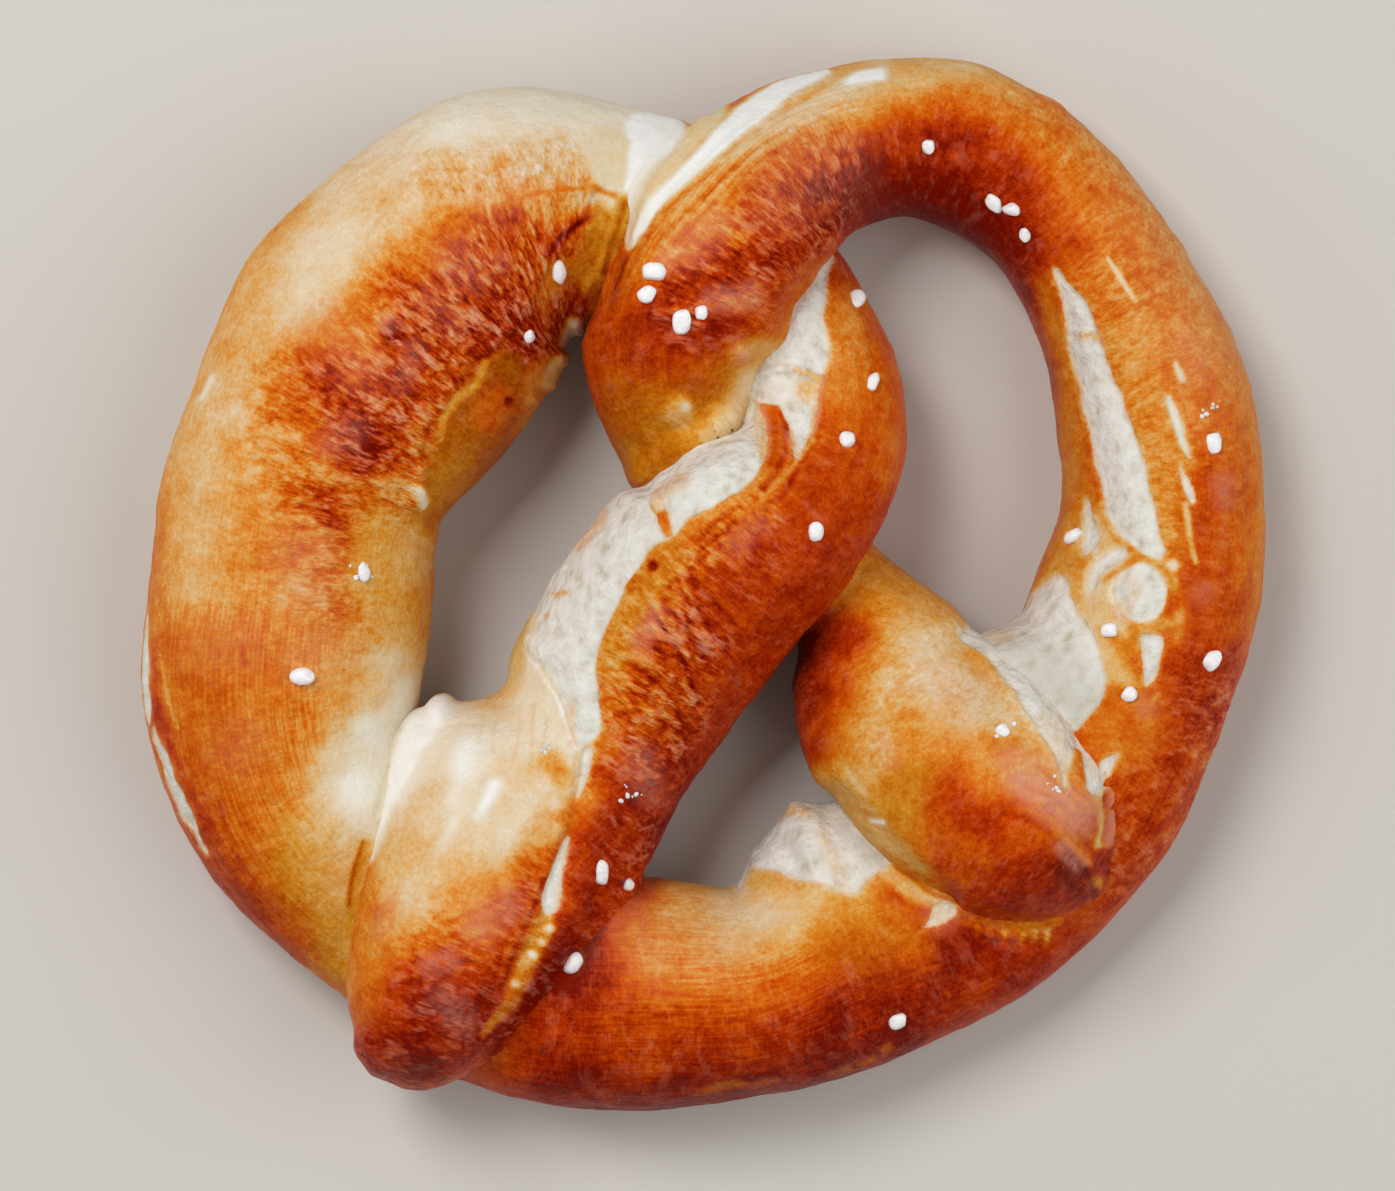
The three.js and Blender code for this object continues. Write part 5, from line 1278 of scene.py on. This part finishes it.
# %% Grains, given as places on the plan from the middle, mm
SALT = [  # x, y, width, length, turn in degrees
    (-19, 41.5, 2, 3.3, 0), (-23, 33, 1.8, 1.8, 20), (-6.3, 41.6, 3.7, 2.7, 0), (-7.2, 38.7, 2.7, 2.4, 10),
    (-2.7, 34.8, 2.4, 3.5, 0), (-0.1, 36.2, 1.7, 2, 0), (30.1, 58.3, 1.7, 2, 0), (38.8, 50.8, 2.2, 3.1, 35),
    (41.2, 50, 2.3, 1.9, 0), (43, 46.6, 1.5, 2, 0), (20.8, 38.2, 2.2, 3.3, -35), (22.7, 27, 1.8, 3, -15),
    (19.2, 19.3, 2.2, 2.2, 0), (15.2, 7.2, 2.2, 2.7, 0), (68.1, 18.9, 2.2, 3, 0), (49.3, 6.5, 3, 2, 30),
    (54.3, -5.9, 2.3, 1.8, 0), (56.8, -14.5, 2.2, 2.2, 0), (67.8, -10.1, 2.4, 3, -40),
    (-45.1, 1.7, 1.8, 2.7, 0), (-53.3, -12.1, 3.5, 2.5, 0), (-13.3, -38.3, 2, 3.2, 0),
    (-9.6, -39.9, 2, 2, 0), (-17, -50.3, 2.8, 2.9, 0), (26.1, -57.9, 2.5, 2.5, 0), (40, -19.4, 2, 1.8, 20),
]
SPARKS = [(632, 792), (1213, 408), (1003, 730), (545, 743), (1057, 790), (363, 575)]  # squares, salt dust
chance = np.random.default_rng(7)
print("salt: %d grains to set, dust at %d places" % (len(SALT), len(SPARKS)))

# %% The dough's top under a square of the plan
SALT_UPRIGHT = 0.7  # grains on a slope lie flatter than the skin
UNDER_SQUARE = 0.8  # mm across the plan within which points count as under the square
UNDER_GRAIN = 0.7  # mm, the same for the spot that a grain stands on
PATCH = 1.6  # mm round the highest of them, over which the skin's direction is taken

all_points, all_ways = [], []
for piece in dough.values():
    count = len(piece.data.vertices)
    where, way = np.empty(count * 3, np.float32), np.empty(count * 3, np.float32)
    piece.data.vertices.foreach_get("co", where)
    piece.data.vertices.foreach_get("normal", way)
    all_points.append(where.reshape(-1, 3) / MM)
    all_ways.append(way.reshape(-1, 3))
all_points, all_ways = np.concatenate(all_points), np.concatenate(all_ways)
all_places = plan(all_points)


def top_skin(square):
    """The highest point of the dough that shows at a square of the plan, and the skin's direction there,
    taken from its neighbours."""
    near = np.linalg.norm(all_places - square, axis=1) * SQUARE
    here = np.flatnonzero(near < UNDER_SQUARE)
    best = here[all_points[here, 2].argmax()]
    patch = np.linalg.norm(all_points - all_points[best], axis=1) < PATCH
    way = all_ways[patch].sum(axis=0)
    close = patch & (near < UNDER_GRAIN)
    way = way / np.linalg.norm(way) + np.array([0, 0, SALT_UPRIGHT])
    return all_points[close].mean(axis=0), way / np.linalg.norm(way)


print("the dough is %.1f mm high at the plan's middle" % top_skin(PLAN_MIDDLE)[0][2])

# %% A grain of salt
SUNK = 0.38  # the share of a grain's height that is in the crust
POWERS = (1.95, 2.5)  # 2 is a ball, and more is nearer to a box
CHIPPED = (0.17, 0.9)  # how deep its chips are, and how wide, as shares of half its size
CUT_AT, CUT_DEPTH = 0.8, 0.8  # where its flat cuts begin, and how far they take off what stands past that
GRAIN_HEIGHT = 0.66  # of its width
WORN_DOWN = 0.96


def grain_of_salt(square, width, long, turn, seed, rows=15, columns=22):
    """A ball's directions, each as far out as a box with rounded corners reaches, with chips and three
    flat cuts, times the grain's size; then turned to stand on the skin."""
    down = np.linspace(0, np.pi, rows)[:, None]
    round_it = np.arange(columns)[None] / columns * 2 * np.pi
    ball = np.stack([np.sin(down) * np.cos(round_it), np.sin(down) * np.sin(round_it),
                     np.cos(down) * np.ones_like(round_it)], axis=-1)
    power = chance.uniform(*POWERS)
    reach = (np.abs(ball) ** power).sum(axis=-1) ** (-1 / power)
    worn = ball * (reach * (1 + CHIPPED[0] * rough(ball + 10 * seed, CHIPPED[1], 2, seed)))[..., None]
    for face in chance.normal(size=(3, 3)):
        face /= np.linalg.norm(face)
        worn -= CUT_DEPTH * np.maximum(worn @ face - CUT_AT, 0)[..., None] * face
    half = np.array([width, long, GRAIN_HEIGHT * width]) / 2
    grain = worn * half * WORN_DOWN
    spot, up = top_skin(np.array(square))
    lean = np.radians(turn)
    side = np.array([math.cos(lean), math.sin(lean), 0.0])
    side -= up * (side @ up)
    side /= np.linalg.norm(side)
    axes = np.stack([side, np.cross(up, side), up])
    return (grain + np.array([0, 0, half[2] * (1 - 2 * SUNK)])) @ axes + spot


def joined(grains):
    """One mesh's points and faces from grains that are all nets of the same size."""
    rows, columns = grains[0].shape[:2]
    faces = net(rows, columns)[0]
    return (np.concatenate([g.reshape(-1, 3) for g in grains]),
            np.concatenate([faces + k * rows * columns for k in range(len(grains))]))


# %% The salt
SPECKS_EACH = 7
SPECK_WIDTHS = (0.25, 0.8)  # mm
SPECK_LENGTHS = (0.9, 1.4)  # times their widths
SPECK_SCATTER = 6  # squares
whole = [
    grain_of_salt(PLAN_MIDDLE + np.array([x, -y]) / SQUARE, width, long, turn, k)
    for k, (x, y, width, long, turn) in enumerate(SALT)
]
dust = []
for x, y in SPARKS:
    for k in range(SPECKS_EACH):
        width = chance.uniform(*SPECK_WIDTHS)
        square = np.array([x, y]) + chance.normal(0, SPECK_SCATTER, 2)
        long = width * chance.uniform(*SPECK_LENGTHS)
        turn = chance.uniform(0, 90)
        dust.append(grain_of_salt(square, width, long, turn, 40 + len(dust), rows=9, columns=12))
salt_points, salt_faces = joined(whole)
dust_points, dust_faces = joined(dust)
salt = put_mesh("salt_grains", np.concatenate([salt_points, dust_points]),
                np.concatenate([salt_faces, dust_faces + len(salt_points)]))
welded = bmesh.new()
welded.from_mesh(salt.data)
bmesh.ops.remove_doubles(welded, verts=welded.verts, dist=1e-7)  # closes each grain's two poles
welded.to_mesh(salt.data)
welded.free()
print("salt: %d grains and %d specks" % (len(whole), len(dust)))

# %% [markdown]
# ## The crust's material
#
# One material covers crust and crumb, since on a real pretzel one runs into the other. It reads the marks
# that the skin carries. Bake picks the colour from two ramps, one of red browns and one of olive golds, and
# gold mixes them. Noise moves the bake level about before that, so the browning mottles as it does on a
# real crust, and it moves the tear's edge, so the crust ends in a torn line. Where the tear mark is
# negative, crumb shows.
# The creases of puckers, wrinkles and folds are painted darker and their crowns paler, as painted shade and
# light; pale ridges, a salmon sheen and grey crumb in the creases are painted light and shade as well.

# %% Helpers for material nodes
def paint(red, green, blue):
    """A colour given as on a screen, 0 to 255, made linear."""
    screen = np.array([red, green, blue]) / 255
    linear = np.where(screen <= 0.04045, screen / 12.92, ((screen + 0.055) / 1.055) ** 2.4)
    return (*linear, 1.0)


def add(tree, kind, values=(), **settings):
    """A node with its settings, and each named input set to a number or joined to another node's output."""
    made = tree.nodes.new(kind)
    for key, value in settings.items():
        setattr(made, key, value)
    for key, value in dict(values).items():
        if isinstance(value, bpy.types.NodeSocket):
            tree.links.new(value, made.inputs[key])
        else:
            made.inputs[key].default_value = value
    return made


def calc(tree, operation, *values):
    """One step of arithmetic."""
    return add(tree, "ShaderNodeMath", enumerate(values), operation=operation).outputs[0]


def times(tree, first, second):
    """The product of two values."""
    return calc(tree, "MULTIPLY", first, second)


def total(tree, *values):
    """The sum of several values."""
    out = values[0]
    for value in values[1:]:
        out = calc(tree, "ADD", out, value)
    return out


def ease(tree, value, low, high, at_low=0.0, at_high=1.0):
    """An S-shaped step from one level to another."""
    inputs = {"Value": value, "From Min": low, "From Max": high, "To Min": at_low, "To Max": at_high}
    return add(tree, "ShaderNodeMapRange", inputs, interpolation_type="SMOOTHSTEP").outputs["Result"]


def ramp(tree, level, stops):
    """Colours along a level from 0 to 1."""
    made = add(tree, "ShaderNodeValToRGB", {"Fac": level})
    while len(made.color_ramp.elements) < len(stops):
        made.color_ramp.elements.new(1.0)
    for element, (place, colour) in zip(made.color_ramp.elements, stops):
        element.position = place
        element.color = paint(*colour)
    return made.outputs["Color"]


def blend(tree, share, first, second):
    """A mix of two colours."""
    made = add(tree, "ShaderNodeMix", data_type="RGBA")
    for place, value in ((0, share), (6, first), (7, second)):
        if isinstance(value, bpy.types.NodeSocket):
            tree.links.new(value, made.inputs[place])
        else:
            made.inputs[place].default_value = value
    return made.outputs[2]


def speckle(tree, where, size, detail=3.0):
    """Noise, 0.5 in the middle, with lumps about size mm across: one number, or on the flattened skin
    two, along the rope and round it. A Mapping node of the texture kind divides by the size."""
    if isinstance(size, tuple):
        size, unit = (*size, 10), 1 / LAID_UNIT
    else:
        size, unit = (size,) * 3, MM
    inputs = {"Vector": where, "Scale": [v * unit for v in size]}
    placed = add(tree, "ShaderNodeMapping", inputs, vector_type="TEXTURE").outputs[0]
    made = add(tree, "ShaderNodeTexNoise", {"Vector": placed, "Scale": 1.0, "Detail": detail})
    return made.outputs["Fac"]


def swing(tree, value, height):
    """Noise round 0.5 turned into noise round 0 of a given height."""
    return calc(tree, "MULTIPLY_ADD", value, 2 * height, -height)


# %% Ramps of browning
RED_RAMP = [
    (0.0, (241, 241, 239)), (0.07, (230, 222, 205)), (0.16, (226, 207, 178)), (0.3, (222, 182, 130)),
    (0.42, (223, 156, 76)), (0.55, (216, 118, 26)), (0.68, (206, 84, 6)), (0.8, (184, 56, 2)),
    (0.9, (157, 36, 1)), (1.0, (122, 16, 1)),
]
GOLD_RAMP = [
    (0.0, (222, 214, 188)), (0.3, (218, 182, 106)), (0.5, (206, 142, 30)), (0.7, (184, 98, 2)),
    (0.85, (150, 68, 1)), (1.0, (104, 38, 1)),
]

crust = bpy.data.materials.new("browned_crust_and_crumb")
crust.use_nodes = True
tree = crust.node_tree
tree.nodes.clear()
mark = {
    name: add(tree, "ShaderNodeAttribute", attribute_name=name).outputs["Fac"]
    for name in ("bake", "gold", "crinkle", "grain", "tear", "smear_and_sheen", "dull", "pucker")
}
place = add(tree, "ShaderNodeTexCoord").outputs["Object"]
flattened = add(tree, "ShaderNodeUVMap", uv_map="laid_flat").outputs["UV"]
print("marks that the crust reads:", sorted(mark))

# %% Patterns in the skin
PATTERNS = {  # what it lies on, its size in mm, and how many finer sizes are laid on it
    "mottle": (place, 5.0, 4.0), "blotch": (place, 1.9, 3.0), "freckle": (place, 0.75, 3.0),
    "pore": (place, 0.35, 2.0), "crumb_lump": (place, 2.0, 6.0), "ragged": (place, 0.7, 3.0),
    "wrinkle": (flattened, (0.6, 1.1), 2.0), "ripple": (flattened, (0.4, 1.5), 2.0),
    "drawn": (flattened, (7.0, 0.5), 3.0),
}
pattern = {name: speckle(tree, *kind) for name, kind in PATTERNS.items()}


def stirred(tree, **heights):
    """The sum of several patterns, each swinging round 0 by its own height."""
    return total(tree, *(swing(tree, pattern[name], height) for name, height in heights.items()))


print("patterns:", sorted(pattern))

# %% Where the crust ends
EDGE_WIDTH = (-0.22, 0.18)  # mm from the tear's line over which crumb gives way to crust
LIP_WIDTH, LIP_BAKE = 0.8, -0.12  # mm of crust beside a tear that are paler, and by how much bake

edge = calc(tree, "ADD", mark["tear"], stirred(tree, ragged=0.22))
on_crust = ease(tree, edge, *EDGE_WIDTH)
on_crumb = calc(tree, "SUBTRACT", 1.0, on_crust)
pale_lip = ease(tree, edge, 0.0, LIP_WIDTH, LIP_BAKE, 0.0)

# %% The bake level, moved about by the patterns
PALE_BAKE, PALE_SHARE = 0.35, 0.15  # patterns show less below this bake, down to this share on raw dough
PUCKER_SHADING_BAKE = 0.3  # painted shade and light: how much darker a pucker's crease is painted, and how much paler its crown

mottled = stirred(tree, mottle=0.13, blotch=0.1, freckle=0.13, pore=0.11)
mottled = times(tree, ease(tree, mark["bake"], 0.0, PALE_BAKE, PALE_SHARE, 1.0), mottled)
puckered = calc(tree, "MULTIPLY_ADD", mark["pucker"], -2 * PUCKER_SHADING_BAKE, PUCKER_SHADING_BAKE)
bake = total(
    tree, mark["bake"], pale_lip, mottled,
    # painted shade in the creases of puckers, wrinkles and ripples, and painted light on their crowns
    times(tree, mark["crinkle"], puckered),
    times(tree, mark["crinkle"], stirred(tree, wrinkle=-0.2, ripple=-0.3)),
    times(tree, mark["grain"], stirred(tree, drawn=-0.26)),
)
browned = blend(tree, mark["gold"], ramp(tree, bake, RED_RAMP), ramp(tree, bake, GOLD_RAMP))

# %% Painted highlights on the ridges, and a painted salmon sheen
# painted highlight: pale gold and rose on the wrinkle crests stand in for the light that they catch
GOLD_PAINTED_HIGHLIGHT, BROWN_PAINTED_HIGHLIGHT = paint(232, 156, 84), paint(229, 162, 132)
HIGHLIGHT_BAKE = (0.5, 0.8)  # the bake levels between which a ridge's painted highlight turns from gold to rose
CREST_FROM, MOST_HIGHLIGHT = (0.47, 0.92), 0.68  # how high on a ridge the painted highlight starts and is full
# painted sheen: a salmon colour laid on the crust in place of its gloss
PAINTED_SHEEN, PAINTED_SHEEN_SHARE = paint(214, 141, 120), 0.75

crest = total(tree, mark["pucker"], stirred(tree, ripple=0.45))
crest = times(tree, mark["crinkle"], ease(tree, crest, *CREST_FROM, 0.0, MOST_HIGHLIGHT))
ridge = times(tree, ease(tree, pattern["blotch"], 0.38, 0.6, 0.3, 1.0), crest)
painted_highlight = blend(tree, ease(tree, mark["bake"], *HIGHLIGHT_BAKE), GOLD_PAINTED_HIGHLIGHT, BROWN_PAINTED_HIGHLIGHT)
browned = blend(tree, ridge, browned, painted_highlight)
# one mark carries both tan smears on the crumb and the painted salmon sheen on the crust
smear_and_sheen_share = calc(tree, "ADD", mark["smear_and_sheen"], times(tree, mark["smear_and_sheen"], stirred(tree, freckle=1.6)))
smear_and_sheen_share = calc(tree, "MINIMUM", calc(tree, "MAXIMUM", smear_and_sheen_share, 0.0), 1.0)
browned = blend(tree, times(tree, smear_and_sheen_share, PAINTED_SHEEN_SHARE), browned, PAINTED_SHEEN)

# %% The crumb in the tears
CRUMB_RAMP = [(0.28, (200, 192, 172)), (0.42, (220, 217, 207)), (0.62, (230, 229, 223))]
STRETCHED_SKIN, SHADED_CRUMB, TAN = paint(220, 186, 130), paint(172, 164, 148), paint(222, 178, 112)
SKIN_REACH, SKIN_SHARE = -0.7, 0.6  # mm into the tear over which thin skin clings, and how much of it
CREASE_SHADE_SHARE = 0.6

crumb = ramp(tree, pattern["crumb_lump"], CRUMB_RAMP)
crumb = blend(tree, ease(tree, edge, SKIN_REACH, 0.0, 0.0, SKIN_SHARE), crumb, STRETCHED_SKIN)
# painted shade: the crumb near the creases is mixed towards a grey
crumb = blend(tree, times(tree, mark["dull"], CREASE_SHADE_SHARE), crumb, SHADED_CRUMB)
crumb = blend(tree, smear_and_sheen_share, crumb, TAN)
colour = blend(tree, on_crust, crumb, browned)

# %% Bump and gloss
PALE_GLOSS, DARK_GLOSS = (0.25, 0.52), (0.7, 0.32)  # bake, and the crust's roughness there
CRUMB_ROUGHER = 0.4

height = total(  # mm
    tree, stirred(tree, pore=0.03, freckle=0.07),
    times(tree, on_crust, times(tree, mark["crinkle"], stirred(tree, wrinkle=0.24, ripple=0.22))),
    times(tree, on_crust, times(tree, mark["grain"], stirred(tree, drawn=0.09))),
    times(tree, on_crust, stirred(tree, blotch=0.12)),
    times(tree, on_crumb, stirred(tree, crumb_lump=0.4)),
)
bump = add(tree, "ShaderNodeBump", {"Height": height, "Distance": MM, "Strength": 1.0})
gloss = ease(tree, bake, PALE_GLOSS[0], DARK_GLOSS[0], PALE_GLOSS[1], DARK_GLOSS[1])
roughness = total(tree, gloss, stirred(tree, mottle=0.12), times(tree, on_crumb, CRUMB_ROUGHER))
shader = add(tree, "ShaderNodeBsdfPrincipled", {
    "Base Color": colour, "Roughness": roughness, "Normal": bump.outputs[0], "Specular IOR Level": 0.035,
    "Specular Tint": (1.0, 0.72, 0.48, 1.0),
})
add(tree, "ShaderNodeOutputMaterial", {"Surface": shader.outputs[0]})
print("crust material: %d nodes" % len(tree.nodes))

# %% [markdown]
# ## The salt's material
#
# A grain of salt is clear inside and frosted outside, and the light that wanders about in it comes out
# again all round, so it looks white and soft. A little scattering under the surface does that, and a fine
# noise gives the frost. Without the scattering the grains would look like painted plaster.

# %% Salt's material
white = bpy.data.materials.new("coarse_salt")
white.use_nodes = True
tree = white.node_tree
tree.nodes.clear()
place = add(tree, "ShaderNodeTexCoord").outputs["Object"]
frost = speckle(tree, place, 0.5, 3.0)
tint = ramp(tree, frost, [(0.3, (234, 232, 233)), (0.5, (243, 242, 244)), (0.7, (248, 248, 250))])
dents = add(tree, "ShaderNodeBump", {"Height": swing(tree, frost, 0.05), "Distance": MM, "Strength": 1.0})
shader = add(tree, "ShaderNodeBsdfPrincipled", {
    "Base Color": tint, "Roughness": 0.42, "Normal": dents.outputs[0], "Specular IOR Level": 0.5,
    "Subsurface Weight": 0.6, "Subsurface Radius": (1.0, 0.95, 0.9), "Subsurface Scale": 0.9 * MM,
})
add(tree, "ShaderNodeOutputMaterial", {"Surface": shader.outputs[0]})
print("salt material: %d nodes" % len(tree.nodes))

# %% [markdown]
# ## Finishes and the frame
#
# Each new piece gets its material and two lines that tie it to the imported part: the body that it moves
# with, and the CAD node that it takes the place of, which is hidden.

# %% Pieces of the part
for piece in dough.values():
    piece.data.materials.append(crust)
    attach(piece, "root")
    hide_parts("pretzel")
salt.data.materials.append(white)
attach(salt, "root")
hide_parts("pretzel")
print("pieces:", sorted(piece.name for piece in [*dough.values(), salt]))

# %% [markdown]
# ## Floor, light and camera
#
# The pretzel lies on a plain pale board under soft light from the upper left, as in a kitchen by a window.
# The camera looks straight down from 700 mm, far enough that the thick strands hardly lean outwards.

# %% Floor
FLOOR_HALF = 900  # mm from its middle to its sides
FLOOR_DROP = 0.05  # mm below the pressed underside, so that the two don't flicker
corners = np.array([[-1, -1], [1, -1], [1, 1], [-1, 1]]) * FLOOR_HALF
board = put_mesh("floor", np.column_stack([corners, np.full(4, -FLOOR_DROP)]), np.array([[0, 1, 2, 3]]))
pale = bpy.data.materials.new("pale_board")
pale.use_nodes = True
finish = pale.node_tree.nodes["Principled BSDF"]
finish.inputs["Base Color"].default_value = paint(206, 203, 198)
finish.inputs["Roughness"].default_value = 0.8
board.data.materials.append(pale)


# %% Light
ROOM_LIGHT = 0.18  # what comes from all sides, beside the windows


def window(name, place, width, power, tone):
    """A soft square light that faces the pretzel: its place and width in metres, and its power in watts."""
    lamp = bpy.data.lights.new(name, "AREA")
    lamp.shape = "SQUARE"
    lamp.size = width
    lamp.energy = power
    lamp.color = tone
    holder = bpy.data.objects.new(name, lamp)
    holder.location = place
    holder.rotation_mode = "QUATERNION"
    holder.rotation_quaternion = Vector(place).to_track_quat("Z", "Y")
    bpy.context.scene.collection.objects.link(holder)


window("key", (-0.36, 0.38, 0.85), 0.4, 5.8, (1.0, 0.985, 0.96))
window("fill", (0.6, -0.1, 0.58), 0.9, 3.9, (1.0, 0.99, 0.97))
window("side", (-0.75, -0.1, 0.4), 0.6, 1.4, (1.0, 0.985, 0.96))
world = bpy.data.worlds.new("room")
world.use_nodes = True
world.node_tree.nodes["Background"].inputs["Color"].default_value = (1.0, 1.0, 1.0, 1.0)
world.node_tree.nodes["Background"].inputs["Strength"].default_value = ROOM_LIGHT
bpy.context.scene.world = world
bpy.context.scene.view_settings.view_transform = "Standard"

# %% Camera
SENSOR = 36.0  # mm
SQUARES_ACROSS = 1395  # of the plan, across the camera's view
eye = bpy.data.cameras.new("camera")
eye.sensor_width = SENSOR
eye.lens = SENSOR * (EYE[2] - PLAN_HEIGHT) / (SQUARES_ACROSS * SQUARE)
camera = bpy.data.objects.new("camera", eye)
camera.location = EYE * MM
bpy.context.scene.collection.objects.link(camera)
bpy.context.scene.camera = camera
print("lens %.1f mm" % eye.lens)
